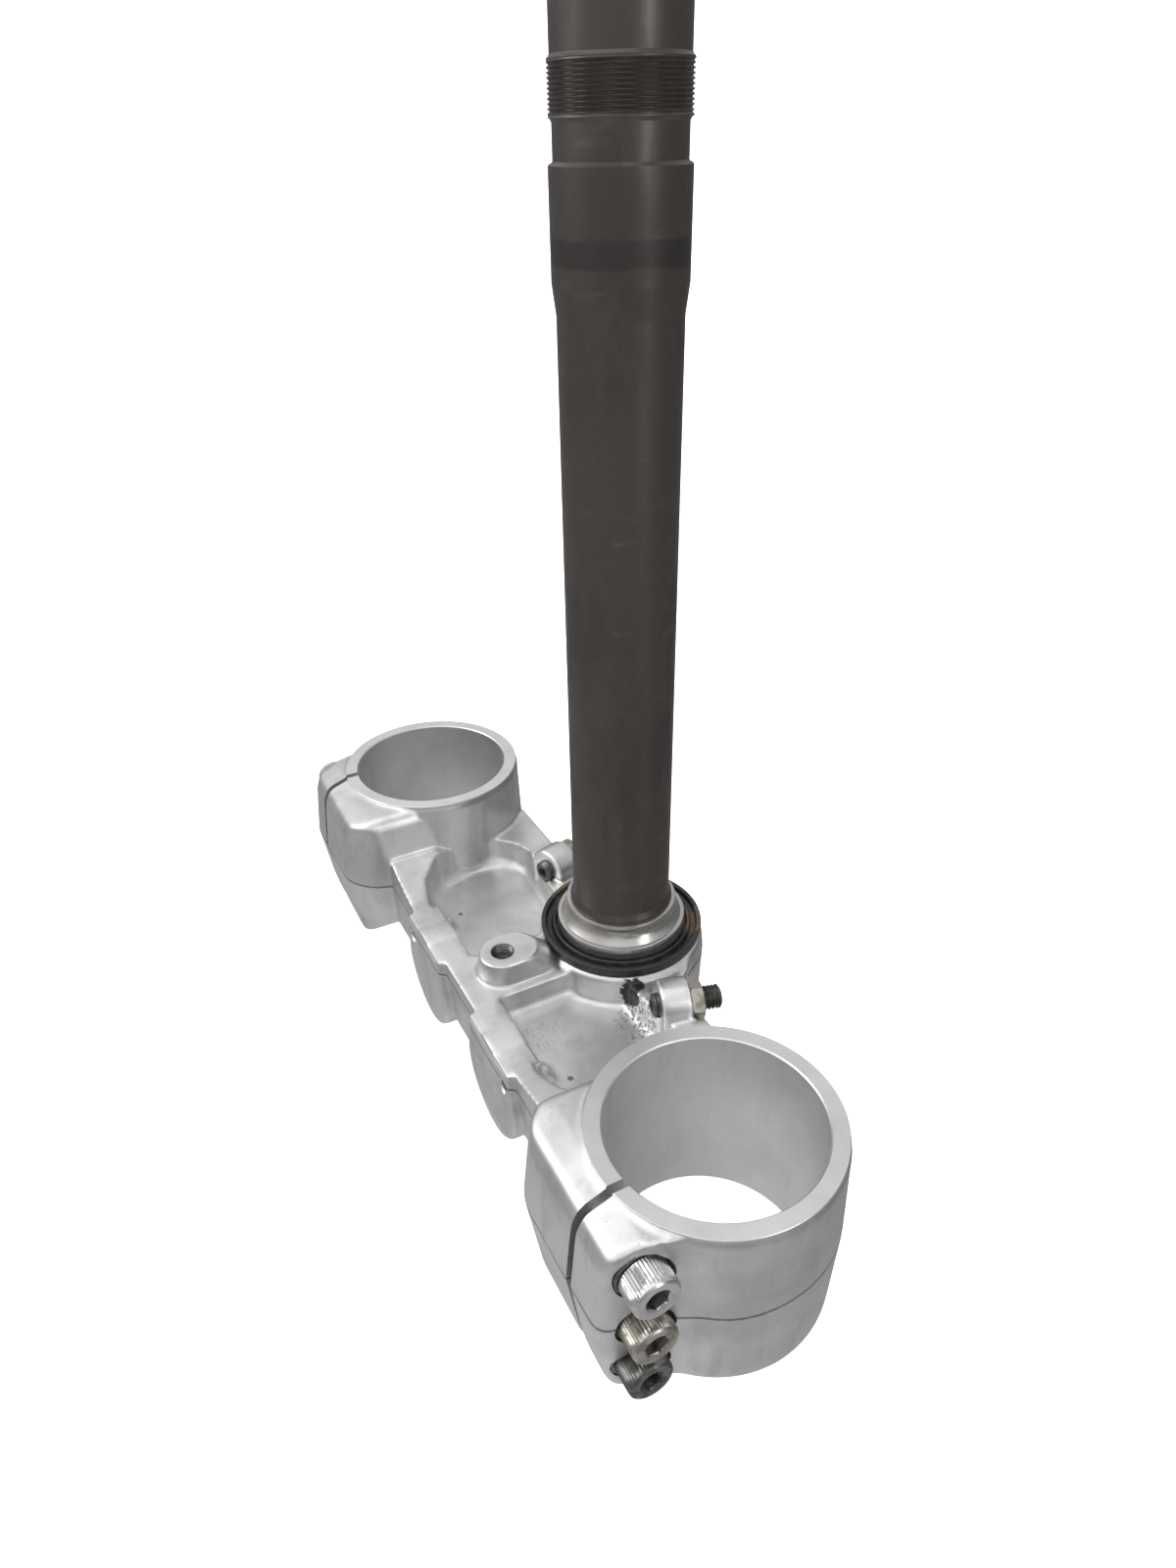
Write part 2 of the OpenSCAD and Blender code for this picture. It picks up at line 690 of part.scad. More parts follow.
// Lock nut of a stop screw, with its corners chamfered
module stop_nut(side) {
    corner_r = nut_af / 2 / cos(30);
    color("gray") at_stop(side) difference() {
        intersection() {
            rotate([0, 0, 20]) cylinder(h = nut_t, r = corner_r, $fn = 6);
            rotate_extrude()
                polygon([
                    [0, 0], [corner_r - 0.7, 0], [corner_r, 0.5],
                    [corner_r, nut_t - 0.5], [corner_r - 0.7, nut_t], [0, nut_t]
                ]);
        }
        translate([0, 0, -eps]) cylinder(h = nut_t + 2 * eps, r = stop_tapped_r);
    }
}

lower_clamp();
steering_stem();
bearing_race();
dust_seal();
color("silver") pinch_screw(left, top);  // pinch_screw_left_top
color("darkkhaki") pinch_screw(left, middle);  // pinch_screw_left_middle
color("dimgray") pinch_screw(left, bottom);  // pinch_screw_left_bottom
color("silver") pinch_screw(right, top);  // pinch_screw_right_top
color("silver") pinch_screw(right, middle);  // pinch_screw_right_middle
color("dimgray") pinch_screw(right, bottom);  // pinch_screw_right_bottom
color("silver") pinch_washer(left, top);  // pinch_washer_left_top
color("gray") pinch_washer(left, middle);  // pinch_washer_left_middle
color("gray") pinch_washer(left, bottom);  // pinch_washer_left_bottom
color("silver") pinch_washer(right, top);  // pinch_washer_right_top
color("gray") pinch_washer(right, middle);  // pinch_washer_right_middle
color("gray") pinch_washer(right, bottom);  // pinch_washer_right_bottom
stop_screw(left);  // stop_screw_left
stop_screw(right);  // stop_screw_right
stop_nut(left);  // stop_nut_left
stop_nut(right);  // stop_nut_right
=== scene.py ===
"""Looks of a motorcycle lower triple clamp with its steering stem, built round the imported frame.

Lengths in the classes are millimetres in the frame's own axes: the origin on the stem axis in the
plane of the clamp's underside, +Z up the stem, -Y the front of the motorcycle and +X its left.
"""

from __future__ import annotations

import logging
import math
from collections.abc import Callable, Iterable, Sequence
from dataclasses import dataclass
from enum import Enum

import bmesh
import bpy
import numpy as np
from mathutils import Matrix, Vector
from mathutils.bvhtree import BVHTree

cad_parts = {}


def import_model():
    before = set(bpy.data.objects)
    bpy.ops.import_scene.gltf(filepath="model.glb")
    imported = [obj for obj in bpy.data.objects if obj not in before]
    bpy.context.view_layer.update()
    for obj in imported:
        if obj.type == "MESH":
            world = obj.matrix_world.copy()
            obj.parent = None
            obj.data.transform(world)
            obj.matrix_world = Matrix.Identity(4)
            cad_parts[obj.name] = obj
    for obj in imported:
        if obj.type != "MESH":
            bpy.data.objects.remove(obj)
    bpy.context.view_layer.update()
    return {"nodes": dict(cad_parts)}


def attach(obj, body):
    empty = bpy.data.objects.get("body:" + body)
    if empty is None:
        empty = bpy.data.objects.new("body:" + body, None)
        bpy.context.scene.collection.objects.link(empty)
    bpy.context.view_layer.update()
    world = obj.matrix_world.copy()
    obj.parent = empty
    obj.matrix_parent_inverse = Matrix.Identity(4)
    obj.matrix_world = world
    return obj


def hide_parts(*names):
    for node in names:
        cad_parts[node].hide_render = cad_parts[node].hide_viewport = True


MM = 0.001
LOG = logging.getLogger("triple_clamp")
Point = tuple[float, float, float]
Colour = tuple[float, float, float]
Spot = tuple[float, float]
Piece = bpy.types.Object
Material = bpy.types.Material
Socket = bpy.types.NodeSocket
WELD_M = 1e-7
FLUTE_OFFSET = 0.1


class Side(Enum):
    """The two mirrored halves of the clamp, as the sign of their X."""

    LEFT = 1
    RIGHT = -1


class Row(Enum):
    """The three pinch screws of one lug, counted down from the top."""

    TOP = 0
    MIDDLE = 1
    BOTTOM = 2


class Surface(Enum):
    """How a surface of the clamp was made; the value is its material slot."""

    FORGED = 0
    BORED = 1
    FACED = 2
    # Walls of holes and slits, dressed in the near-black finish that paints their shade.
    HOLE = 3


@dataclass(frozen=True)
class Layout:
    """Places and sizes that more than one sub-assembly needs, in millimetres."""

    fork_x: float = 104.4
    fork_y: float = -30.3
    bore_r: float = 29.5
    ring_r: float = 34.4
    clamp_h: float = 60.0
    ring_step: float = 0.8
    bore_chamfer: float = 0.35
    parting_z: float = 31.0
    slit_x: float = 5.1
    slit_w: float = 2.6
    screw_ahead: float = 34.1
    screw_top_z: float = 48.2
    screw_pitch: float = 18.5
    seat_x: float = 19.6
    low_seat_in: float = 1.8
    counterbore_r: float = 7.55
    washer_t: float = 1.6
    screw_len: float = 30.0
    hub_z: float = 38.0
    seat_r: float = 17.5
    tube_r: float = 16.5
    stem_bore_r: float = 12.5
    stop_x: float = 44.1
    stop_y: float = 0.0
    stop_z: float = 38.2
    stop_angle: float = 73.4
    stop_boss_len: float = 9.7
    boss_y: float = -45.5
    boss_z: float = 44.4
    pad_x: float = 29.0
    pad_y: float = -64.2
    pad_mid_z: float = 18.5
    pad_hole_x: float = 40.7
    pad_hole_z: float = 28.7
    foot_r: float = 20.0
    foot_h: float = 5.0
    press_gap: float = 0.02

    def fork_axis(self, side: Side) -> Matrix:
        """Frame of a fork bore's axis, in millimetres."""
        return Matrix.Translation((side.value * self.fork_x, self.fork_y, 0))

    def boss_axis(self) -> Matrix:
        """Frame of the centre boss's hole, in millimetres."""
        return Matrix.Translation((0, self.boss_y, 0))

    def pad_axis(self, side: Side, y: float) -> Matrix:
        """Frame of a pad's hole, with +Z to the rear along it and 0 at the given Y."""
        turn = Matrix.Rotation(-math.pi / 2, 4, "X")
        return Matrix.Translation((side.value * self.pad_hole_x, y, self.pad_hole_z)) @ turn

    def screw_z(self, row: Row) -> float:
        """Height of a pinch screw's axis."""
        return self.screw_top_z - row.value * self.screw_pitch

    def screw_seat(self, row: Row) -> float:
        """Distance of a pinch screw's seat outboard of the fork axis."""
        return self.seat_x - (self.low_seat_in if row is Row.BOTTOM else 0.0)

    def pinch_axis(self, side: Side, row: Row) -> Matrix:
        """Frame of a pinch screw, with +Z outboard along it and 0 at its seat.

        Args:
            side: left or right half.
            row: which of the three screws.

        Returns:
            The matrix that takes the screw's own millimetres to the part's.
        """
        x = side.value * (self.fork_x + self.screw_seat(row))
        y = self.fork_y - self.screw_ahead
        turn = Matrix.Rotation(side.value * math.pi / 2, 4, "Y")
        return Matrix.Translation((x, y, self.screw_z(row))) @ turn

    def stop_axis(self, side: Side) -> Matrix:
        """Frame of a stop screw, with +Z to the rear along it and 0 at the boss's rear face.

        Args:
            side: left or right half.

        Returns:
            The matrix that takes the screw's own millimetres to the part's.
        """
        angle = math.radians(self.stop_angle)
        if side is Side.RIGHT:
            angle = math.pi - angle
        turn = Matrix.Rotation(angle, 4, "Z") @ Matrix.Rotation(math.pi / 2, 4, "Y")
        return Matrix.Translation((side.value * self.stop_x, self.stop_y, self.stop_z)) @ turn


LAYOUT = Layout()


def link(mesh: bpy.types.Mesh, name: str) -> Piece:
    """Puts a mesh into the scene as an object.

    Args:
        mesh: the mesh, in metres.
        name: the object's name.

    Returns:
        The new object.
    """
    piece = bpy.data.objects.new(name, mesh)
    bpy.context.scene.collection.objects.link(piece)
    return piece


def discard(piece: Piece) -> None:
    """Removes a helper object and its mesh."""
    mesh = piece.data
    bpy.data.objects.remove(piece)
    bpy.data.meshes.remove(mesh)


def polygons_object(name: str, points: Iterable[Sequence[float]], faces: Iterable[Sequence[int]]) -> Piece:
    """Makes an object from points in millimetres and faces, with outward normals.

    Args:
        name: the object's name.
        points: the corners in millimetres.
        faces: the corner numbers of each face.

    Returns:
        The new object.
    """
    mesh = bpy.data.meshes.new(name)
    mesh.from_pydata([Vector(p) * MM for p in points], [], [tuple(f) for f in faces])
    shell = bmesh.new()
    shell.from_mesh(mesh)
    bmesh.ops.recalc_face_normals(shell, faces=shell.faces)
    shell.to_mesh(mesh)
    shell.free()
    return link(mesh, name)


def stacked(name: str, levels: Sequence[tuple[Sequence[Spot], float]]) -> Piece:
    """Joins closed outlines at several heights into a solid.

    Args:
        name: the object's name.
        levels: outlines in the XY plane and their heights, in millimetres, with as many
            corners in each.

    Returns:
        The closed solid.
    """
    count = len(levels[0][0])
    points = [(x, y, z) for outline, z in levels for x, y in outline]
    faces: list[Sequence[int]] = [range(count), range(len(points) - count, len(points))]
    for start in range(0, len(points) - count, count):
        for i in range(count):
            j = (i + 1) % count
            faces.append((start + i, start + j, start + count + j, start + count + i))
    return polygons_object(name, points, faces)


def prism(name: str, outline: Sequence[Spot], low: float, high: float) -> Piece:
    """Extrudes a closed outline from one height to another."""
    return stacked(name, [(outline, low), (outline, high)])


def scaled(outline: Sequence[Spot], cx: float, cy: float, by: float) -> list[Spot]:
    """An outline scaled about a point by a factor."""
    return [(cx + (x - cx) * by, cy + (y - cy) * by) for x, y in outline]


def arc(cx: float, cy: float, r: float, start: float, end: float, steps: int) -> list[Spot]:
    """Points of an arc from one angle to another in degrees, with so many chords."""
    angles = [math.radians(start + (end - start) * i / steps) for i in range(steps + 1)]
    return [(cx + r * math.cos(a), cy + r * math.sin(a)) for a in angles]


def hexagonal(flat: float, angle: float) -> float:
    """Radius at an angle of a hexagon whose flats stand so far from its centre."""
    sector = (angle + math.pi / 6) % (math.pi / 3) - math.pi / 6
    return flat / math.cos(sector)


def flute(z: float, angle: float, pitch: float, steepness: float) -> float:
    """Share of its full depth that a thread's groove has at a point.

    Args:
        z: height of the point along the thread.
        angle: its angle round the axis.
        pitch: the thread's pitch, in the unit of z.
        steepness: how steep its flanks are; its crests and roots are flat where it is high.

    Returns:
        From 0 on a crest to 1 at a root.
    """
    turn = (z / pitch - angle / (2 * math.pi)) % 1.0
    return min(1.0, max(0.0, abs(2 * turn - 1) * steepness - FLUTE_OFFSET))


def turned(
    name: str,
    rows: Sequence[Spot],
    segments: int = 96,
    radius: Callable[[float, float, float], float] | None = None,
    place: Matrix | None = None,
) -> Piece:
    """Turns a profile round Z into a closed solid.

    Args:
        name: the object's name.
        rows: radius and height of each ring in millimetres; a ring of radius 0 is a point,
            and a profile that has none closes on itself.
        segments: number of steps round the axis.
        radius: gives a ring point's radius from the row's radius, its height and its angle.
        place: frame of the axis in the part, in millimetres.

    Returns:
        The closed solid.
    """
    points: list[Vector] = []
    rings: list[list[int]] = []
    for r, z in rows:
        start = len(points)
        if r <= 0:
            points.append(Vector((0, 0, z)))
            rings.append([start] * segments)
            continue
        for i in range(segments):
            angle = 2 * math.pi * i / segments
            true_r = radius(r, z, angle) if radius else r
            points.append(Vector((true_r * math.cos(angle), true_r * math.sin(angle), z)))
        rings.append(list(range(start, start + segments)))
    pairs = list(zip(rings, rings[1:]))
    if all(r > 0 for r, _ in rows):
        pairs.append((rings[-1], rings[0]))
    faces = []
    for lower, upper in pairs:
        for i in range(segments):
            j = (i + 1) % segments
            corners = [lower[i], lower[j], upper[j], upper[i]]
            faces.append(tuple(dict.fromkeys(corners)))
    if place:
        points = [place @ p for p in points]
    return polygons_object(name, points, [f for f in faces if len(f) > 2])


def bake_modifiers(piece: Piece) -> None:
    """Applies all modifiers of an object to its mesh."""
    graph = bpy.context.evaluated_depsgraph_get()
    mesh = bpy.data.meshes.new_from_object(piece.evaluated_get(graph))
    old = piece.data
    piece.modifiers.clear()
    piece.data = mesh
    bpy.data.meshes.remove(old)


def combine(body: Piece, tool: Piece, operation: str) -> None:
    """Adds a solid to the body or cuts it away, and removes the tool.

    Args:
        body: the object that is changed.
        tool: the closed solid that is added or cut.
        operation: UNION or DIFFERENCE.
    """
    before = len(body.data.polygons)
    step = body.modifiers.new("combine", "BOOLEAN")
    step.operation = operation
    step.object = tool
    step.solver = "MANIFOLD"
    bake_modifiers(body)
    if not body.data.polygons:
        raise RuntimeError(f"{operation} with {tool.name} emptied the body of {before} faces")
    discard(tool)


def crisp(piece: Piece, angle: float = 32.0) -> None:
    """Shades an object smooth, with sharp edges above an angle in degrees."""
    piece.data.shade_smooth()
    piece.data.set_sharp_from_angle(angle=math.radians(angle))


def dress(piece: Piece, *materials: Material) -> None:
    """Gives an object its materials, in slot order."""
    piece.data.materials.clear()
    for material in materials:
        piece.data.materials.append(material)


def paint_socket_shade(piece: Piece, place: Matrix, reach: float, low: float, high: float) -> None:
    """Gives a hexagon socket's inside the piece's second material, the near-black hole finish that paints the
    shade in the socket.

    Args:
        piece: the screw.
        place: frame of its axis in the part, in millimetres.
        reach: how far the socket reaches from the axis.
        low: the socket's lower end along the axis.
        high: the socket's upper end along the axis.
    """
    back = place.inverted()
    for face in piece.data.polygons:
        at = back @ (face.center / MM)
        if math.hypot(at.x, at.y) < reach and low < at.z < high:
            face.material_index = 1


def install(piece: Piece, slot: str, *nodes: str) -> None:
    """Fixes a piece to the part, in place of the nodes that it stands for.

    Args:
        piece: the finished object.
        slot: not used.
        nodes: the frame nodes that it replaces; none for an added piece.
    """
    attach(piece, "root")
    if nodes:
        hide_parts(*nodes)
    piece.data.calc_loop_triangles()
    LOG.info("%s: %d triangles", piece.name, len(piece.data.loop_triangles))


class Nodes:
    """A small builder of procedural node trees for one material."""

    def __init__(self, name: str) -> None:
        """Starts a material with a Principled shader.

        Args:
            name: the material's name.
        """
        self.material = bpy.data.materials.new(name)
        self.material.use_nodes = True
        self.tree = self.material.node_tree
        self.shader = self.tree.nodes["Principled BSDF"]
        self.place = self.add("ShaderNodeTexCoord").outputs["Object"]

    def add(self, kind: str, **values: object) -> bpy.types.Node:
        """Adds a node and sets its properties.

        Args:
            kind: the node's type name.
            values: property names and values.

        Returns:
            The node.
        """
        node = self.tree.nodes.new(kind)
        for key, value in values.items():
            setattr(node, key, value)
        return node

    def join(self, source: Socket, target: Socket) -> None:
        """Links an output to an input."""
        self.tree.links.new(source, target)

    def stretched(self, scale: Point, offset: Point = (0, 0, 0)) -> Socket:
        """Object coordinates, scaled and shifted.

        Args:
            scale: factors along X, Y and Z.
            offset: shift after scaling.

        Returns:
            The vector socket.
        """
        node = self.add("ShaderNodeMapping")
        node.inputs["Scale"].default_value = scale
        node.inputs["Location"].default_value = offset
        self.join(self.place, node.inputs["Vector"])
        return node.outputs["Vector"]

    def noise(
        self, scale: float, detail: float = 3, rough: float = 0.5, where: Socket | None = None
    ) -> Socket:
        """Noise between 0 and 1.

        Args:
            scale: features per metre.
            detail: octaves.
            rough: weight of the finer octaves.
            where: the vector to sample at; object coordinates by default.

        Returns:
            The value socket.
        """
        node = self.add("ShaderNodeTexNoise")
        node.inputs["Scale"].default_value = scale
        node.inputs["Detail"].default_value = detail
        node.inputs["Roughness"].default_value = rough
        self.join(where or self.place, node.inputs["Vector"])
        return node.outputs["Fac"]

    def maths(self, operation: str, *values: Socket | float) -> Socket:
        """A math node.

        Args:
            operation: the node's operation.
            values: sockets or numbers, in order.

        Returns:
            The value socket.
        """
        node = self.add("ShaderNodeMath", operation=operation)
        for socket, value in zip(node.inputs, values):
            if isinstance(value, (int, float)):
                socket.default_value = value
            else:
                self.join(value, socket)
        return node.outputs["Value"]

    def times(self, *values: Socket | float) -> Socket:
        """The product of two values."""
        return self.maths("MULTIPLY", *values)

    def plus(self, *values: Socket | float) -> Socket:
        """The sum of two values."""
        return self.maths("ADD", *values)

    def sway(self, scale: float, detail: float, size: float) -> Socket:
        """Noise about zero of a given size."""
        return self.times(self.maths("SUBTRACT", self.noise(scale, detail), 0.5), size)

    def ramp(self, value: Socket, low: float, high: float) -> Socket:
        """Maps a value to 0 at low and 1 at high, smoothly and clamped.

        Args:
            value: the input.
            low: the value that gives 0.
            high: the value that gives 1.

        Returns:
            The value socket.
        """
        node = self.add("ShaderNodeMapRange", interpolation_type="SMOOTHSTEP")
        node.inputs["From Min"].default_value = min(low, high)
        node.inputs["From Max"].default_value = max(low, high)
        node.inputs["To Min"].default_value = 0.0 if low < high else 1.0
        node.inputs["To Max"].default_value = 1.0 if low < high else 0.0
        self.join(value, node.inputs["Value"])
        return node.outputs["Result"]

    def mix(self, amount: Socket | float, first: object, second: object) -> Socket:
        """Mixes two colours.

        Args:
            amount: share of the second colour.
            first: colour or socket.
            second: colour or socket.

        Returns:
            The colour socket.
        """
        node = self.add("ShaderNodeMix", data_type="RGBA")
        sockets = [s for s in node.inputs if s.enabled]
        for socket, value in zip(sockets, (amount, first, second)):
            if isinstance(value, Socket):
                self.join(value, socket)
            elif isinstance(value, tuple):
                socket.default_value = (*value, 1.0)
            else:
                socket.default_value = value
        return next(s for s in node.outputs if s.enabled)

    def blob(self, centre: Point, radius: float, ragged: Socket) -> Socket:
        """A ragged patch round a point of the part.

        Args:
            centre: its middle in millimetres.
            radius: its reach in millimetres.
            ragged: noise that breaks up its edge.

        Returns:
            A value socket, 1 inside the patch.
        """
        node = self.add("ShaderNodeVectorMath", operation="DISTANCE")
        self.join(self.place, node.inputs[0])
        node.inputs[1].default_value = Vector(centre) * MM
        reach = self.maths("DIVIDE", node.outputs["Value"], radius * MM)
        broken = self.plus(reach, self.times(ragged, 1.3))
        return self.ramp(broken, 1.62, 1.45)

    def bump(self, height: Socket, distance: float, strength: float = 1.0) -> None:
        """Adds a bump under any that the shader already has.

        Args:
            height: the height field.
            distance: its depth in metres.
            strength: how much of it shows.
        """
        node = self.add("ShaderNodeBump")
        node.inputs["Distance"].default_value = distance
        node.inputs["Strength"].default_value = strength
        self.join(height, node.inputs["Height"])
        normal = self.shader.inputs["Normal"]
        if normal.is_linked:
            self.join(normal.links[0].from_socket, node.inputs["Normal"])
        self.join(node.outputs["Normal"], normal)


@dataclass(frozen=True)
class ForgedAlloy:
    """Satin skin of the forging: fine blast texture, parting line, a near-black patch and dirt, with painted
    shade in the hollows and along the parting line.
    """

    tone: Colour = (0.76, 0.765, 0.76)
    shade: Colour = (0.56, 0.56, 0.55)
    grime_and_shade: Colour = (0.16, 0.145, 0.125)
    gunk: Colour = (0.075, 0.066, 0.055)
    blackening: Colour = (0.012, 0.011, 0.011)
    smeared: Colour = (0.45, 0.45, 0.44)
    rubbed: Colour = (0.86, 0.86, 0.855)
    roughness: float = 0.40
    parting_z: float = LAYOUT.parting_z

    def material(self) -> Material:
        """Builds and returns the material of the forged skin."""
        m = Nodes("forged_alloy")
        cloud = m.noise(35, 4, 0.6)
        grain = m.noise(1500, 3, 0.65)
        fine = m.noise(4200, 2, 0.5)
        smear = m.noise(1.0, 4, 0.6, m.stretched((130, 130, 34)))
        skin = m.mix(m.ramp(cloud, 0.35, 0.75), self.tone, self.shade)
        skin = m.mix(m.times(m.ramp(smear, 0.5, 0.72), 0.4), skin, self.smeared)
        freckle = m.ramp(m.noise(900, 2, 0.4), 0.70, 0.78)
        skin = m.mix(m.times(freckle, 0.35), skin, self.grime_and_shade)
        hollow = m.add("ShaderNodeAttribute", attribute_name="hollow").outputs["Fac"]
        # Painted shade: the hollows are darkened towards the grime colour, broken up with noise.
        hollow_shade = m.times(m.ramp(hollow, 0.02, 0.14), m.ramp(m.noise(120, 4, 0.6), 0.3, 0.7))
        skin = m.mix(m.times(hollow_shade, 0.55), skin, self.grime_and_shade)
        skin = m.mix(m.times(m.ramp(hollow, -0.03, -0.16), 0.5), skin, self.rubbed)
        # Painted shade: the parting line is darkened as if in the shade of its ridge.
        line = self.parting(m)
        skin = m.mix(m.times(line, 0.8), skin, self.grime_and_shade)
        dirt = self.dirt(m)
        skin = m.mix(m.times(dirt, 0.85), skin, self.gunk)
        blackening = self.black_patch(m)
        skin = m.mix(blackening, skin, self.blackening)
        m.join(skin, m.shader.inputs["Base Color"])
        metal = m.maths("SUBTRACT", 1.0, m.times(m.maths("MAXIMUM", dirt, blackening), 0.9))
        m.join(metal, m.shader.inputs["Metallic"])
        rough = m.plus(m.times(grain, 0.10), self.roughness - 0.05)
        rough = m.plus(rough, m.times(dirt, 0.4))
        m.join(rough, m.shader.inputs["Roughness"])
        m.bump(m.noise(240, 2, 0.5), 0.00006, 0.5)
        m.bump(m.plus(grain, m.times(fine, 0.5)), 0.00003, 0.55)
        m.bump(line, -0.00016, 0.9)
        return m.material

    def parting(self, m: Nodes) -> Socket:
        """The wavy parting line on the outer surfaces, whose darkening is painted shade beside its ridge.

        Args:
            m: the material's builder.

        Returns:
            A value socket, 1 on the line.
        """
        split = m.add("ShaderNodeSeparateXYZ")
        m.join(m.place, split.inputs[0])
        wander = m.sway(28, 2, 0.0035)
        height = m.maths("SUBTRACT", split.outputs["Z"], self.parting_z * MM)
        off = m.maths("ABSOLUTE", m.plus(height, wander))
        outer = m.add("ShaderNodeAttribute", attribute_name="outer").outputs["Fac"]
        edge = m.plus(off, m.sway(500, 3, 0.0005))
        return m.times(m.ramp(edge, 0.00062, 0.00022), outer)

    def dirt(self, m: Nodes) -> Socket:
        """Dry dirt beside the left stop boss and the centre boss, and a pit in each pocket.

        Args:
            m: the material's builder.

        Returns:
            A value socket, 1 where grime lies.
        """
        ragged = m.noise(420, 4, 0.65)
        near_stop = m.blob((35.0, -14.0, 30.0), 8.5, ragged)
        by_stop = m.blob((38.0, -14.0, 29.0), 8.0, ragged)
        at_boss = m.blob((-6.0, -31.0, 36.0), 6.0, ragged)
        both = m.maths("MAXIMUM", near_stop, by_stop)
        speckle = m.ramp(m.noise(700, 5, 0.75), 0.46, 0.60)
        scratches = m.ramp(m.noise(1.0, 3, 0.6, m.stretched((260, 1300, 260))), 0.56, 0.64)
        scuff = m.times(m.blob((26.0, -44.0, 27.0), 9.0, ragged), scratches)
        clinging = m.times(m.maths("MAXIMUM", both, at_boss), speckle)
        for side in Side:
            pit = m.blob((side.value * 46.2, -43.6, 27.0), 1.0, m.noise(300, 1))
            clinging = m.maths("MAXIMUM", clinging, pit)
        return m.maths("MAXIMUM", clinging, m.times(scuff, 0.4))

    def black_patch(self, m: Nodes) -> Socket:
        """A near-black patch on the stem boss's wall beside the left stop boss, as a value socket."""
        return m.blob((28.2, -10.5, 33.0), 5.6, m.noise(420, 5, 0.7))


@dataclass(frozen=True)
class BoredAlloy:
    """Bright fork bore with the fine rings that the boring tool left."""

    tone: Colour = (0.74, 0.74, 0.73)
    stained: Colour = (0.62, 0.605, 0.57)
    pitted: Colour = (0.3, 0.28, 0.25)
    roughness: float = 0.30

    def material(self) -> Material:
        """Builds and returns the material of the bored surfaces."""
        m = Nodes("bored_alloy")
        rings = m.noise(1.0, 3, 0.6, m.stretched((30, 30, 5200)))
        broad = m.noise(1.0, 2, 0.5, m.stretched((24, 24, 420)))
        stain = m.ramp(m.noise(40, 3, 0.6), 0.45, 0.75)
        colour = m.mix(m.times(stain, 0.35), self.tone, self.stained)
        pit = m.ramp(m.noise(650, 2, 0.4), 0.735, 0.77)
        m.join(m.mix(m.times(pit, 0.6), colour, self.pitted), m.shader.inputs["Base Color"])
        m.shader.inputs["Metallic"].default_value = 1.0
        rough = m.plus(m.times(broad, 0.10), self.roughness - 0.05)
        m.join(rough, m.shader.inputs["Roughness"])
        m.bump(rings, 0.00002, 0.6)
        m.bump(broad, 0.00003, 0.35)
        return m.material


@dataclass(frozen=True)
class FacedAlloy:
    """Machined flat faces: collar rings, centre boss and front pads."""

    tone: Colour = (0.80, 0.81, 0.81)
    clouded: Colour = (0.68, 0.685, 0.68)
    scratched: Colour = (0.4, 0.39, 0.37)
    roughness: float = 0.36

    def material(self) -> Material:
        """Builds and returns the material of the faced surfaces."""
        m = Nodes("faced_alloy")
        cloud = m.noise(60, 3, 0.6)
        scratch = m.ramp(m.noise(1.0, 2, 0.4, m.stretched((700, 90, 300))), 0.68, 0.75)
        colour = m.mix(m.ramp(cloud, 0.4, 0.75), self.tone, self.clouded)
        m.join(m.mix(m.times(scratch, 0.3), colour, self.scratched), m.shader.inputs["Base Color"])
        m.shader.inputs["Metallic"].default_value = 1.0
        m.join(m.plus(m.times(cloud, 0.12), self.roughness - 0.06), m.shader.inputs["Roughness"])
        m.bump(m.noise(2600, 2, 0.5), 0.000012, 0.5)
        m.bump(scratch, -0.00003, 0.6)
        return m.material


@dataclass(frozen=True)
class HoleShade:
    """Painted shade: near-black, dull walls of the slits, seats and tapped holes stand in for the shade inside
    them, with darker noisy patches that are partly dirt and partly painted shade.
    """

    # Painted shade: this near-black tone stands in for the shade inside the holes; the darker colour below
    # paints deeper shade and dirt in noisy patches.
    tone: Colour = (0.07, 0.068, 0.065)
    dirt_and_shade: Colour = (0.012, 0.011, 0.01)

    def material(self) -> Material:
        """Builds and returns the material of the hole walls."""
        m = Nodes("hole_shade")
        grime_and_shade = m.ramp(m.noise(300, 3, 0.6), 0.4, 0.65)
        m.join(m.mix(grime_and_shade, self.tone, self.dirt_and_shade), m.shader.inputs["Base Color"])
        m.shader.inputs["Metallic"].default_value = 0.0
        m.shader.inputs["Specular IOR Level"].default_value = 0.25
        m.shader.inputs["Roughness"].default_value = 0.7
        m.bump(m.noise(900, 3, 0.6), 0.00004, 0.5)
        return m.material


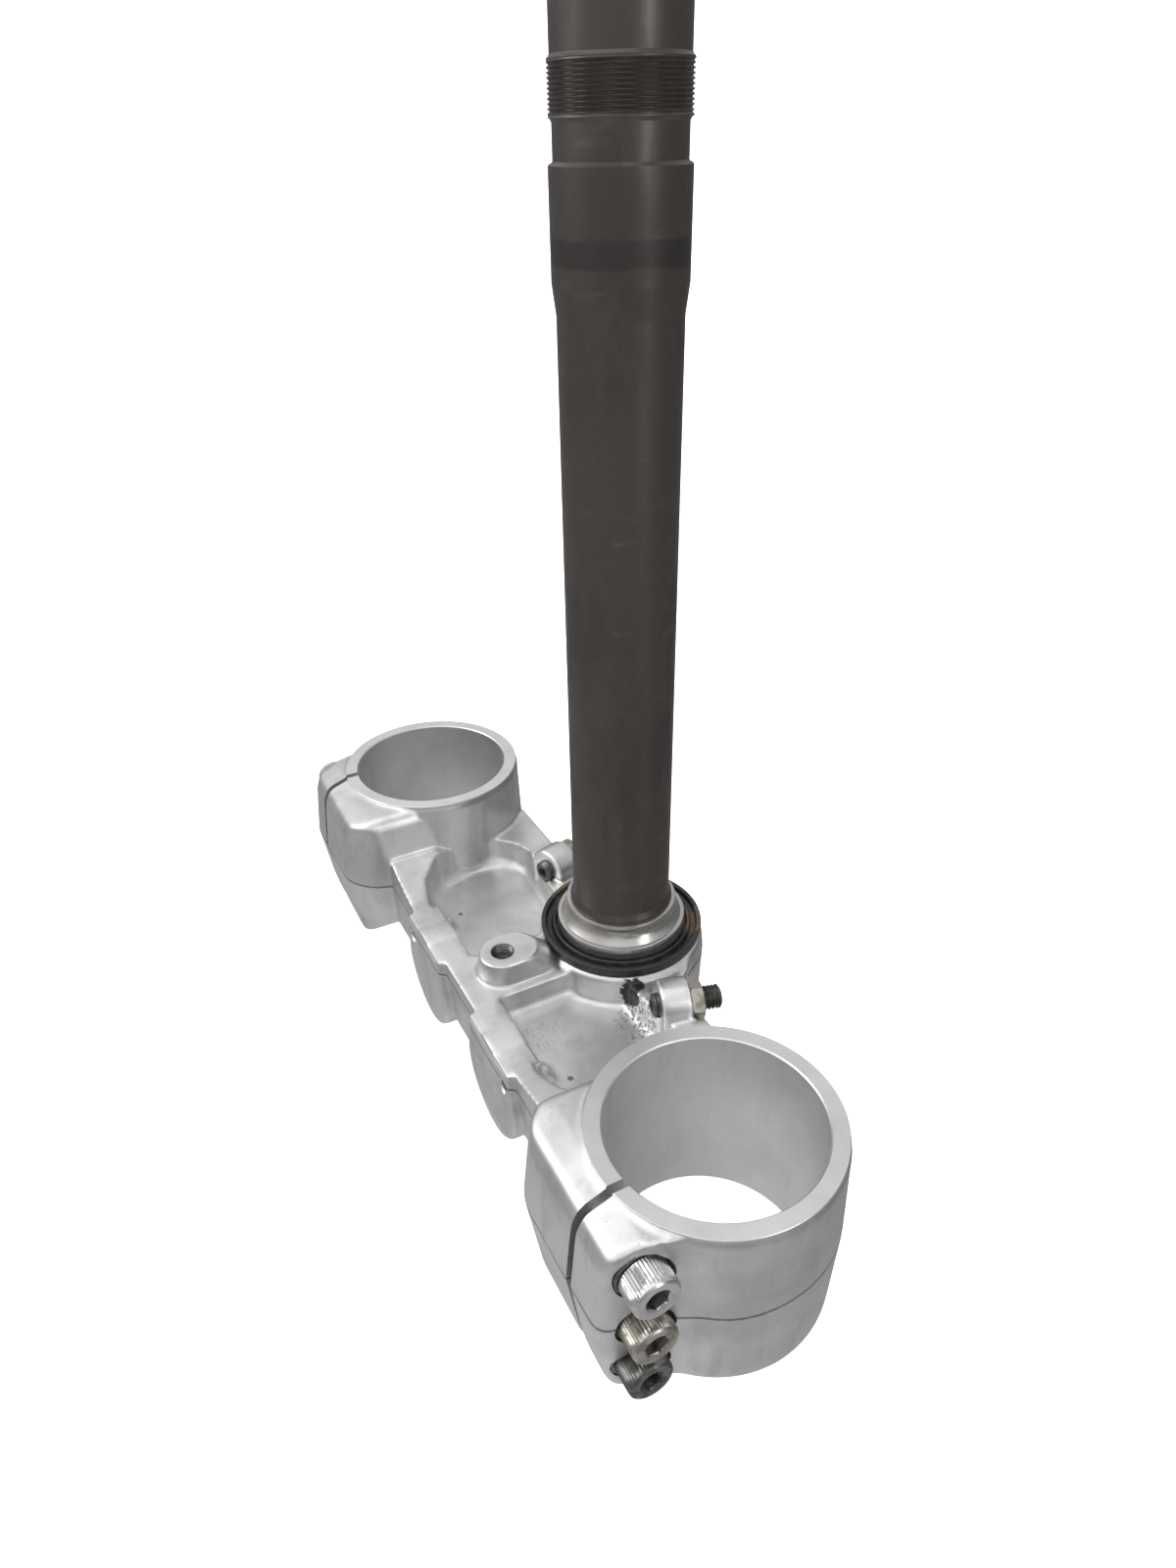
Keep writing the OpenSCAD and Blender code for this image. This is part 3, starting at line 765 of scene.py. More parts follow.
@dataclass(frozen=True)
class StemSteel:
    """Dark oxidised stem: smudges, darker bands and fine grinding marks."""

    tone: Colour = (0.088, 0.078, 0.072)
    dark: Colour = (0.048, 0.044, 0.043)
    worn: Colour = (0.17, 0.155, 0.142)
    roughness: float = 0.34
    band_z: float = 253.0
    band_half: float = 3.2
    band_edge: float = 0.8

    def material(self) -> Material:
        """Builds and returns the material of the stem."""
        m = Nodes("stem_steel")
        smudge = m.ramp(m.noise(1.0, 5, 0.62, m.stretched((55, 55, 22))), 0.46, 0.62)
        colour = m.mix(m.times(smudge, 0.5), self.tone, self.dark)
        rub = m.ramp(m.noise(1.0, 4, 0.6, m.stretched((40, 40, 130))), 0.60, 0.72)
        colour = m.mix(m.times(rub, 0.25), colour, self.worn)
        split = m.add("ShaderNodeSeparateXYZ")
        m.join(m.place, split.inputs[0])
        band = self.band(m, split.outputs["Z"])
        colour = m.mix(m.times(band, 0.75), colour, self.dark)
        m.join(colour, m.shader.inputs["Base Color"])
        m.shader.inputs["Metallic"].default_value = 0.85
        grind = m.noise(1.0, 2, 0.5, m.stretched((40, 40, 3800)))
        rough = m.plus(m.times(smudge, 0.12), self.roughness)
        m.join(rough, m.shader.inputs["Roughness"])
        m.bump(grind, 0.00001, 0.5)
        m.bump(m.noise(420, 3, 0.6), 0.00003, 0.35)
        return m.material

    def band(self, m: Nodes, height: Socket) -> Socket:
        """A dark ring that a bearing left on its seat.

        Args:
            m: the material's builder.
            height: the height socket in metres.

        Returns:
            A value socket, 1 in the ring.
        """
        wavy = m.sway(60, 3, 0.004)
        off = m.maths("ABSOLUTE", m.plus(m.maths("SUBTRACT", height, self.band_z * MM), wavy))
        return m.ramp(off, (self.band_half + self.band_edge) * MM, (self.band_half - self.band_edge) * MM)


@dataclass(frozen=True)
class PlainSteel:
    """Steel of a fastener or race, with its own tone, gloss and stain."""

    name: str
    tone: Colour
    stain: Colour
    stained: float
    roughness: float
    streaks: float = 0.0
    patches: float = 260.0
    patch_detail: float = 4.0

    def material(self) -> Material:
        """Builds and returns the material of this steel."""
        m = Nodes(self.name)
        low, high = 0.62 - 0.3 * self.stained, 0.75 - 0.2 * self.stained
        patch = m.ramp(m.noise(self.patches, self.patch_detail, 0.55), low, high)
        colour = m.mix(m.times(patch, self.stained), self.tone, self.stain)
        m.join(colour, m.shader.inputs["Base Color"])
        m.shader.inputs["Metallic"].default_value = 0.95
        rough = m.plus(m.times(patch, 0.22), self.roughness)
        m.join(rough, m.shader.inputs["Roughness"])
        m.bump(m.noise(1500, 3, 0.6), 0.000006, 0.4)
        if self.streaks:
            m.bump(m.noise(1.0, 2, 0.5, m.stretched((40, 40, 1500))), 0.000008, self.streaks)
        return m.material


@dataclass(frozen=True)
class SealRubber:
    """Black rubber with dry dust and brown grit between its lips."""

    tone: Colour = (0.012, 0.012, 0.014)
    dusty: Colour = (0.13, 0.125, 0.12)
    grit: Colour = (0.12, 0.075, 0.035)
    grit_reach: float = 7.0

    def material(self) -> Material:
        """Builds and returns the material of the seal."""
        m = Nodes("seal_rubber")
        dust = m.ramp(m.noise(320, 4, 0.65), 0.52, 0.72)
        colour = m.mix(m.times(dust, 0.22), self.tone, self.dusty)
        ragged = m.noise(380, 4, 0.7)
        behind = m.blob((13.0, 21.5, 40.5), self.grit_reach, ragged)
        ahead = m.blob((-23.0, -9.0, 40.0), self.grit_reach, ragged)
        low = m.maths("MAXIMUM", behind, ahead)
        broken = m.times(low, m.ramp(m.noise(1500, 3, 0.6), 0.40, 0.56))
        m.join(m.mix(broken, colour, self.grit), m.shader.inputs["Base Color"])
        m.join(m.plus(m.times(dust, 0.3), 0.36), m.shader.inputs["Roughness"])
        m.bump(m.noise(1200, 3, 0.6), 0.00003, 0.5)
        return m.material


class Finishes:
    """Every material of the part, built once."""

    def __init__(self) -> None:
        """Builds the materials."""
        self.forged = ForgedAlloy().material()
        self.bored = BoredAlloy().material()
        self.faced = FacedAlloy().material()
        # The hole finish paints the shade inside holes, seats, slits and sockets.
        self.hole = HoleShade().material()
        self.stem = StemSteel().material()
        self.rubber = SealRubber().material()
        race = PlainSteel(
            "race_steel", tone=(0.48, 0.47, 0.455), stain=(0.28, 0.25, 0.22), stained=0.35, roughness=0.25,
            streaks=0.2, patches=70.0, patch_detail=1.0,
        )
        bright = PlainSteel(
            "bright_zinc", tone=(0.56, 0.56, 0.55), stain=(0.26, 0.25, 0.23), stained=0.3, roughness=0.27
        )
        yellowed = PlainSteel(
            "yellowed_zinc", tone=(0.40, 0.385, 0.34), stain=(0.17, 0.15, 0.115), stained=0.6, roughness=0.3
        )
        dark = PlainSteel(
            "dark_steel", tone=(0.17, 0.165, 0.16), stain=(0.07, 0.063, 0.056), stained=0.6, roughness=0.36
        )
        self.race = race.material()
        self.bright = bright.material()
        self.yellowed = yellowed.material()
        self.dark = dark.material()

    def clamp(self) -> list[Material]:
        """The clamp's materials in the order of Surface."""
        return [self.forged, self.bored, self.faced, self.hole]

    def screw(self, row: Row) -> Material:
        """The finish of a pinch screw: bright, yellowed or dark, from the top down."""
        return {Row.TOP: self.bright, Row.MIDDLE: self.yellowed, Row.BOTTOM: self.dark}[row]


@dataclass
class ForgedClamp:
    """The clamp: the frame's solid softened as a forging, then machined crisp again."""

    voxel: float = 0.7
    softening: int = 7
    deep_softening: int = 26
    target_triangles: int = 160_000
    lay: Layout = LAYOUT

    def build(self, source: Piece, finishes: Finishes) -> Piece:
        """Builds the dressed clamp.

        Args:
            source: the frame's clamp node.
            finishes: the part's materials.

        Returns:
            The finished clamp.
        """
        body = self.forge(source)
        for tool in self.machined_lands():
            combine(body, tool, "UNION")
        for tool in self.cutters():
            combine(body, tool, "DIFFERENCE")
        self.sort_surfaces(body)
        self.mark_outer(body)
        crisp(body)
        dress(body, *finishes.clamp())
        body.name = "clamp"
        return body

    def forge(self, source: Piece) -> Piece:
        """Fills the machined holes of the solid and softens all its edges.

        Args:
            source: the frame's clamp node.

        Returns:
            The blank as it leaves the die.
        """
        shell = bmesh.new()
        shell.from_mesh(source.data)
        bmesh.ops.transform(shell, matrix=source.matrix_world, verts=shell.verts)
        for plug in self.plugs():
            shell.from_mesh(plug.data)
            discard(plug)
        bmesh.ops.remove_doubles(shell, verts=shell.verts, dist=WELD_M)
        mesh = bpy.data.meshes.new("blank")
        shell.to_mesh(mesh)
        shell.free()
        body = link(mesh, "blank")
        grid = body.modifiers.new("grid", "REMESH")
        grid.mode = "VOXEL"
        grid.voxel_size = self.voxel * MM
        bake_modifiers(body)
        body.vertex_groups.new(name="deep").add(self.deep_vertices(body), 1.0, "REPLACE")
        for group, passes in (("", self.softening), ("deep", self.deep_softening)):
            soft = body.modifiers.new("soft", "SMOOTH")
            soft.factor = 0.5
            soft.iterations = passes
            soft.vertex_group = group
        bake_modifiers(body)
        body.vertex_groups.clear()
        body.data.calc_loop_triangles()
        thin = body.modifiers.new("thin", "DECIMATE")
        thin.ratio = min(1.0, self.target_triangles / len(body.data.loop_triangles))
        bake_modifiers(body)
        return body

    def deep_vertices(self, body: Piece) -> list[int]:
        """Vertices in the pockets, at the feet and on the lugs' crests, which are rounded most.

        Args:
            body: the remeshed blank.

        Returns:
            Their indices.
        """
        at = np.empty(len(body.data.vertices) * 3)
        body.data.vertices.foreach_get("co", at)
        x, y, z = at.reshape(-1, 3).T / MM
        x = np.abs(x)
        lay = self.lay
        clear_of_stop = (np.hypot(x - lay.stop_x, z - lay.stop_z) > 9.5) | (z < 30)
        pocket = (x > 9) & (x < 76) & (y > -56.5) & (y < -4) & (z < 34.0) & clear_of_stop
        crest = (z > 46) & (y < -64)
        foot = z < 7
        return np.flatnonzero(pocket | crest | foot).tolist()

    def plugs(self) -> list[Piece]:
        """Solids that fill the holes of the frame's clamp before it is softened."""
        lay = self.lay
        found = [turned("plug", [(0, 0.0), (20.6, 0.0), (20.6, lay.hub_z), (0, lay.hub_z)])]
        boss = [(0, 22), (4, 22), (4, lay.boss_z), (0, lay.boss_z)]
        found.append(turned("plug", boss, 24, place=lay.boss_axis()))
        outer = lay.bore_r + 1.6
        bore = [(0, 0), (outer, 0), (outer, lay.clamp_h), (0, lay.clamp_h)]
        pad = [(0, 0), (3, 0), (3, 15), (0, 15)]
        stop = [(0, -lay.stop_boss_len), (4.5, -lay.stop_boss_len), (4.5, 0), (0, 0)]
        for side in Side:
            found.append(turned("plug", bore, 96, place=lay.fork_axis(side)))
            found.append(self.slit_plug(side))
            found.append(self.seat_plug(side))
            found.append(self.lug_wall(side))
            found.append(turned("plug", pad, 24, place=lay.pad_axis(side, lay.pad_y)))
            found.append(turned("plug", stop, 24, place=lay.stop_axis(side)))
        return found

    def lug_wall(self, side: Side) -> Piece:
        """The inner half of a lug, which keeps its wall upright to a tight upper edge.

        Args:
            side: left or right half.

        Returns:
            The closed solid.
        """
        fronts = {33: -45.9, 40: -45.2, 47: -44.5, 52.6: -43.1}
        fronts |= {54.8: -42.4, 56.6: -40.6, 57.9: -37.0, 58.7: -35.0}
        corner, corner_x, corner_y = 17.0, -18.0, -29.1
        draft, wall_draft, bend, bend_z = 0.0021, 0.17, 4.2, 54.6
        levels = []
        for z, front in fronts.items():
            inner = -35.5 + wall_draft * (z - self.lay.parting_z)
            if z > bend_z:
                inner += bend - math.sqrt(bend**2 - (z - bend_z) ** 2)
            lean = 1 - (z - self.lay.parting_z) * draft
            bent = arc(corner_x * lean, corner_y * lean, corner * lean, 180, 270, 16)
            outline = [(5.0, -10.0), (inner, -10.0)] + [(max(x, inner), max(y, front)) for x, y in bent]
            outline.append((5.0, front))
            place = [(side.value * (self.lay.fork_x + x), self.lay.fork_y + y) for x, y in outline]
            levels.append((place, z))
        return stacked("plug", levels)

    def slit_plug(self, side: Side) -> Piece:
        """Fills a pinch slit, following the lug's side view.

        Args:
            side: left or right half.

        Returns:
            The closed solid.
        """
        front = [(-25, 0.4), (-67.5, 0.4), (-71.6, 4.5), (-76.2, 31), (-73.9, 52.2), (-72.6, 55.4)]
        front += [(-70.4, 57.2), (-64.6, 59.0), (-25, 59.4)]
        half = self.lay.slit_w / 2 + 0.4
        middle = side.value * (self.lay.fork_x + self.lay.slit_x)
        points = [(middle + dx, y, z) for dx in (-half, half) for y, z in front]
        count = len(front)
        faces: list[Sequence[int]] = [range(count), range(count, 2 * count)]
        faces += [(i, (i + 1) % count, count + (i + 1) % count, count + i) for i in range(count)]
        return polygons_object("plug", points, faces)

    def seat_plug(self, side: Side) -> Piece:
        """Fills the screw seats of a lug up to its slanted, drafted outer face.

        Args:
            side: left or right half.

        Returns:
            The closed solid.
        """
        lay = self.lay
        slope = math.tan(math.radians(15.0))
        levels = [(2.5, 0.914), (lay.parting_z, 1.0), (54.0, 0.952)]
        points = []
        for z, scale in levels:
            for y in (-41.5, -25.5):
                face = 23.6 + slope * (y + lay.screw_ahead)
                for x in (14.0, face):
                    points.append((side.value * (lay.fork_x + x * scale), lay.fork_y + y * scale, z))
        quads: list[Sequence[int]] = [(0, 1, 3, 2), (8, 9, 11, 10)]
        for low in (0, 4):
            ring = (low, low + 1, low + 3, low + 2)
            for i in range(4):
                a, b = ring[i], ring[(i + 1) % 4]
                quads.append((a, b, b + 4, a + 4))
        return polygons_object("plug", points, quads)

    def machined_lands(self) -> list[Piece]:
        """Crisp rings and faces that stand on the softened forging."""
        lay = self.lay
        top, end = lay.clamp_h, lay.stop_boss_len
        inner, neck = lay.bore_r - 3, lay.bore_r + 2.0
        ring = [(inner, 0.0), (neck - 0.5, 0.0), (neck, 0.5), (neck, top - 8), (lay.ring_r, top - 4)]
        ring += [(lay.ring_r, top - 0.15), (lay.ring_r - 0.15, top), (inner, top)]
        stop = [(0, -end), (7.5, -end), (8.1, 0.6 - end), (8.1, -0.6), (7.5, 0), (0, 0)]
        pad_r, pad_front = 18.2, -lay.pad_y
        shoulders = ((15.3, 34.2), (14.2, 35.7), (-14.2, 35.7), (-15.3, 34.2))
        found = []
        for side in Side:
            found.append(turned("ring", ring, 160, place=lay.fork_axis(side)))
            x = side.value * lay.pad_x
            pad = arc(x, lay.pad_mid_z, pad_r, 170, 370, 40) + [(x + dx, z) for dx, z in shoulders]
            inset = scaled(pad, x, lay.pad_mid_z, 0.965)
            land = stacked("pad", [(pad, 58.0), (pad, pad_front - 0.6), (inset, pad_front)])
            land.data.transform(Matrix.Rotation(math.pi / 2, 4, "X"))
            found.append(land)
            found.append(turned("stop", stop, 64, place=lay.stop_axis(side)))
        boss_r, boss_len = 7.9, 4.5
        flat = arc(0, lay.boss_y, boss_r, 180, 360, 24) + arc(0, lay.boss_y + boss_len, boss_r, 0, 180, 24)
        middle = lay.boss_y + boss_len / 2
        foot = scaled(flat, 0, middle, 1.1)
        top = scaled(flat, 0, middle, 0.95)
        found.append(stacked("boss", [(foot, 36.0), (flat, lay.boss_z - 0.5), (top, lay.boss_z)]))
        return found

    def cutters(self) -> list[Piece]:
        """Tools for every machined hole, in the order in which they are cut."""
        lay = self.lay
        top, c = lay.clamp_h, lay.bore_chamfer
        mouth_r = lay.bore_r + c
        bore = [(0, -2), (mouth_r, -2), (mouth_r, 0), (lay.bore_r, c)]
        bore += [(lay.bore_r, top - c), (mouth_r, top), (mouth_r, top + 2), (0, top + 2)]
        hole = [(0, -1), (3.1, -1), (3.1, 1.85), (2.5, 2.5), (2.5, 15), (0, 16)]
        ahead = -lay.stop_boss_len - 4
        stop = [(0, ahead), (4.0, ahead), (4.0, 0), (8.0, 0), (8.0, 9), (0, 9)]
        found = []
        for side in Side:
            found.append(turned("bore", bore, 160, place=lay.fork_axis(side)))
            found.append(self.slit_cutter(side))
            for row in Row:
                found.append(self.pinch_cutter(side, row))
            found.append(turned("pad_hole", hole, 48, place=lay.pad_axis(side, -66.0)))
            found.append(turned("stop_hole", stop, 64, place=lay.stop_axis(side)))
        foot, seat = lay.foot_r + lay.press_gap, lay.seat_r + lay.press_gap
        stem = [(0, -1), (foot, -1), (foot, lay.foot_h), (seat, lay.foot_h), (seat, 37), (seat, 50), (0, 50)]
        found.append(turned("stem_hole", stem, 128))
        seal_seat_r = 28.6
        seal = [(0, lay.hub_z), (seal_seat_r, lay.hub_z), (seal_seat_r, 70), (0, 70)]
        found.append(turned("seal_seat", seal, 128))
        tapped = [(0, 24.4), (4.02, 26), (4.02, lay.boss_z), (4.3, lay.boss_z + 0.01), (4.3, 50), (0, 50)]
        found.append(turned("boss_hole", tapped, 64, place=lay.boss_axis()))
        return found

    def slit_cutter(self, side: Side) -> Piece:
        """The saw cut of a pinch slit.

        Args:
            side: left or right half.

        Returns:
            The closed solid.
        """
        lay = self.lay
        middle = side.value * (lay.fork_x + lay.slit_x)
        half = lay.slit_w / 2
        low, high = middle - half, middle + half
        outline = [(low, -85), (high, -85), (high, lay.fork_y), (low, lay.fork_y)]
        return prism("slit", outline, -2, lay.clamp_h + 2)

    def pinch_cutter(self, side: Side, row: Row) -> Piece:
        """The stepped hole of one pinch screw.

        Args:
            side: left or right half.
            row: which of the three screws.

        Returns:
            The closed solid.
        """
        lay = self.lay
        inner = lay.slit_x - lay.screw_seat(row)
        end = lay.washer_t - lay.screw_len - 1.0
        hole = [(0, end), (4.05, end), (4.05, inner), (4.25, inner), (4.25, 0)]
        seat = [(lay.counterbore_r, 0), (lay.counterbore_r, 25), (0, 25)]
        return turned("pinch_hole", hole + seat, 64, place=lay.pinch_axis(side, row))

    def sort_surfaces(self, body: Piece) -> None:
        """Gives each face of the clamp the slot of the way it was made.

        Args:
            body: the clamp.
        """
        for face in body.data.polygons:
            face.material_index = self.surface_of(face.center / MM, face.normal).value

    def surface_of(self, at: Vector, normal: Vector) -> Surface:
        """How the clamp's surface was made at a point.

        Args:
            at: the point in millimetres.
            normal: the surface's normal there.

        Returns:
            The kind of surface.
        """
        lay = self.lay
        x = abs(at.x) - lay.fork_x
        ahead = -(at.y - lay.fork_y)
        from_fork = math.hypot(x, ahead)
        if from_fork < lay.bore_r + lay.bore_chamfer and abs(normal.z) < 0.9:
            return Surface.BORED
        if from_fork < lay.ring_r + 0.05 and (at.z > lay.clamp_h - lay.ring_step or at.z < 0.8):
            return Surface.FACED
        if ahead > 29 and abs(abs(x - lay.slit_x) - lay.slit_w / 2) < 0.02 and abs(normal.x) > 0.9:
            return Surface.HOLE
        for row in Row:
            off = math.hypot(ahead - lay.screw_ahead, at.z - lay.screw_z(row))
            if off < lay.counterbore_r + 0.02 and -14 < x < 26:
                return Surface.HOLE
        if math.hypot(at.x, at.y - lay.boss_y) < 4.1 and at.z < lay.boss_z - 0.01:
            return Surface.HOLE
        if at.z > lay.boss_z - 0.6 and abs(at.x) < 8.5 and -56 < at.y < -31:
            return Surface.FACED
        if at.y < lay.pad_y + 0.05 and abs(at.x) < 60 and normal.y < -0.99:
            return Surface.FACED
        from_pad_hole = math.hypot(abs(at.x) - lay.pad_hole_x, at.z - lay.pad_hole_z)
        if from_pad_hole < 3.2 and lay.pad_y + 0.01 < at.y < -48:
            return Surface.HOLE
        if math.hypot(at.x, at.y) < lay.foot_r + 0.1:
            return Surface.HOLE
        return self.stop_surface(at, normal)

    def stop_surface(self, at: Vector, normal: Vector) -> Surface:
        """How a stop boss's surface was made at a point.

        Args:
            at: the point in millimetres.
            normal: the surface's normal there.

        Returns:
            The kind of surface.
        """
        lay = self.lay
        side = Side.LEFT if at.x > 0 else Side.RIGHT
        local = lay.stop_axis(side).inverted() @ at
        off = math.hypot(local.x, local.y)
        if off < 4.05 and -lay.stop_boss_len - 4 < local.z < 0.1:
            return Surface.HOLE
        if off < 8.05 and abs(local.z) < 0.02:
            return Surface.FACED
        return Surface.FORGED

    def mark_outer(self, body: Piece) -> None:
        """Marks hollows and edges, and the vertices near the parting line that look freely outward.

        Args:
            body: the clamp.
        """
        band_mm, upright, lift_m, sight_m = 4.5, 0.5, 0.0004, 0.25
        mesh = body.data
        layer = mesh.attributes.new("hollow", "FLOAT", "POINT")
        layer.data.foreach_set("value", self.hollows(mesh))
        tree = BVHTree.FromPolygons(
            [v.co for v in mesh.vertices], [tuple(p.vertices) for p in mesh.polygons], all_triangles=False
        )
        flags = [0.0] * len(mesh.vertices)
        for vertex in mesh.vertices:
            level = vertex.co.z / MM - self.lay.parting_z
            flat = Vector((vertex.normal.x, vertex.normal.y, 0))
            if abs(level) > band_mm or flat.length < upright:
                continue
            start = vertex.co + flat.normalized() * lift_m
            hit = tree.ray_cast(start, flat.normalized(), sight_m)[0]
            flags[vertex.index] = 0.0 if hit else 1.0
        layer = mesh.attributes.new("outer", "FLOAT", "POINT")
        layer.data.foreach_set("value", flags)

    def hollows(self, mesh: bpy.types.Mesh) -> np.ndarray:
        """How hollow the surface is at each vertex.

        Args:
            mesh: the clamp's mesh.

        Returns:
            Values above 0 in hollows, below 0 on edges, averaged over a few millimetres.
        """
        count = len(mesh.vertices)
        at, normal = np.empty(count * 3), np.empty(count * 3)
        mesh.vertices.foreach_get("co", at)
        mesh.vertices.foreach_get("normal", normal)
        at, normal = at.reshape(-1, 3), normal.reshape(-1, 3)
        edges = np.empty(len(mesh.edges) * 2, dtype=np.int64)
        mesh.edges.foreach_get("vertices", edges)
        a, b = edges.reshape(-1, 2).T
        span = at[b] - at[a]
        length = np.maximum(np.linalg.norm(span, axis=1), 1e-6)
        share = np.bincount(a, minlength=count) + np.bincount(b, minlength=count)
        rise = np.bincount(a, np.einsum("ij,ij->i", span, normal[a]) / length, count)
        rise -= np.bincount(b, np.einsum("ij,ij->i", span, normal[b]) / length, count)
        value = rise / np.maximum(share, 1)
        for _ in range(3):
            total = np.bincount(a, value[b], count) + np.bincount(b, value[a], count)
            value = 0.5 * value + 0.5 * total / np.maximum(share, 1)
        return value.astype(np.float32)


@dataclass
class SteeringStem:
    """The hollow stem with its seats, groove, cut thread and journal."""

    race_top_z: float = 52.0
    tube_top_z: float = 238.0
    seat_z: float = 245.4
    groove_z: float = 271.3
    thread_z: float = 280.4
    journal_z: float = 291.8
    top_z: float = 322.8
    groove_r: float = 16.36
    thread_r: float = 17.25
    pitch: float = 1.0
    thread_depth: float = 0.55
    lay: Layout = LAYOUT

    def build(self, finishes: Finishes) -> Piece:
        """Builds the dressed stem.

        Args:
            finishes: the part's materials.

        Returns:
            The finished stem.
        """
        piece = turned("stem", self.profile(), 128, self.thread)
        crisp(piece, 24)
        dress(piece, finishes.stem)
        return piece

    def profile(self) -> list[Spot]:
        """Rings of the stem, up the outside and down the bore."""
        seat, tube, bore = self.lay.seat_r, self.lay.tube_r, self.lay.stem_bore_r
        foot_r, foot_h = self.lay.foot_r, self.lay.foot_h
        rows = [
            (foot_r - 0.5, 0.0), (foot_r, 0.5), (foot_r, foot_h), (seat, foot_h), (seat, self.race_top_z + 1.0),
            (tube + 0.1, self.race_top_z + 2.9), (tube, self.race_top_z + 3.2), (tube, self.tube_top_z - 0.6),
            (tube + 0.06, self.tube_top_z + 0.4), (seat - 0.06, self.seat_z - 0.4), (seat, self.seat_z + 0.3),
            (seat, self.groove_z - 0.5), (seat - 0.5, self.groove_z), (self.groove_r + 0.3, self.groove_z),
            (self.groove_r, self.groove_z + 0.4), (self.groove_r, self.thread_z - 0.9),
            (self.thread_r - 0.45, self.thread_z - 0.1),
        ]
        steps = int((self.journal_z - self.thread_z) / self.pitch * 10)
        rise = (self.journal_z - self.thread_z) / steps
        rows += [(self.thread_r, self.thread_z + rise * i) for i in range(steps + 1)]
        rows += [
            (tube + 0.2, self.journal_z + 0.5), (tube, self.journal_z + 0.9), (tube, self.top_z - 1.2),
            (tube - 1.2, self.top_z), (bore + 0.8, self.top_z), (bore, self.top_z - 0.8),
            (bore, 0.8), (bore + 0.8, 0.0),
        ]
        return rows

    def thread(self, r: float, z: float, angle: float) -> float:
        """Radius of a point of the stem, with the thread cut into its blank.

        Args:
            r: the row's radius.
            z: its height.
            angle: its angle round the axis.

        Returns:
            The radius in millimetres.
        """
        if r != self.thread_r or not self.thread_z <= z <= self.journal_z:
            return r
        fade = min(1.0, (z - self.thread_z) / self.pitch, (self.journal_z - z) / self.pitch)
        return r - self.thread_depth * flute(z, angle, self.pitch, 1.3) * fade


@dataclass
class BearingGroup:
    """The bare inner race and the rubber dust seal under it."""

    race_z: float = 39.0
    race_h: float = 13.0
    rib_r: float = 22.2
    rib_h: float = 6.2
    top_r: float = 18.9
    track_depth: float = 0.9
    seal_r: float = 28.2
    seal_h: float = 3.6
    bore_r: float = 17.52
    lay: Layout = LAYOUT

    def race(self, finishes: Finishes) -> Piece:
        """Builds the race with its hollowed track.

        Args:
            finishes: the part's materials.

        Returns:
            The finished race.
        """
        low, rib = self.race_z, self.race_z + self.rib_h
        high = self.race_z + self.race_h
        rib_r, foot, steps = self.rib_r, self.rib_r - 1.4, 24
        rows = [(self.bore_r, low), (rib_r - 0.4, low), (rib_r, low + 0.4)]
        rows += [(rib_r, rib - 0.5), (rib_r - 0.15, rib - 0.15), (rib_r - 0.5, rib), (foot + 0.1, rib)]
        for i in range(steps + 1):
            t = i / steps
            hollow = self.track_depth * math.sin(math.pi * t)
            rows.append((foot + (self.top_r - foot) * t - hollow, rib + (high - 1 - rib) * t))
        rows += [(self.top_r, high - 0.4), (self.top_r - 0.15, high - 0.1), (self.top_r - 0.4, high)]
        rows.append((self.bore_r, high))
        piece = turned("race", rows, 160)
        crisp(piece)
        dress(piece, finishes.race)
        return piece

    def seal(self, finishes: Finishes) -> Piece:
        """Builds the seal with its groove and rounded lips.

        Args:
            finishes: the part's materials.

        Returns:
            The finished seal.
        """
        z, lip = self.lay.hub_z, self.lay.hub_z + self.seal_h
        inner, outer = self.rib_r + 0.6, self.seal_r
        rows = [(self.bore_r, z), (outer - 0.8, z), (outer - 0.8, z + 0.5), (outer - 0.25, z + 0.75)]
        rows += arc(outer - 0.55, lip - 0.55, 0.55, -10, 100, 6)
        rows += arc(outer - 1.25, lip - 0.5, 0.45, 80, 180, 5)
        rows += [(outer - 2.0, z + 1.8), (outer - 2.6, z + 1.5), (inner + 1.9, z + 1.5), (inner + 1.5, z + 2.0)]
        rows += arc(inner + 0.75, lip - 0.85, 0.55, 0, 180, 8)
        rows += [(inner, z + 1.0), (self.bore_r, z + 1.0)]
        piece = turned("seal", rows, 160)
        crisp(piece, 40)
        dress(piece, finishes.rubber)
        return piece


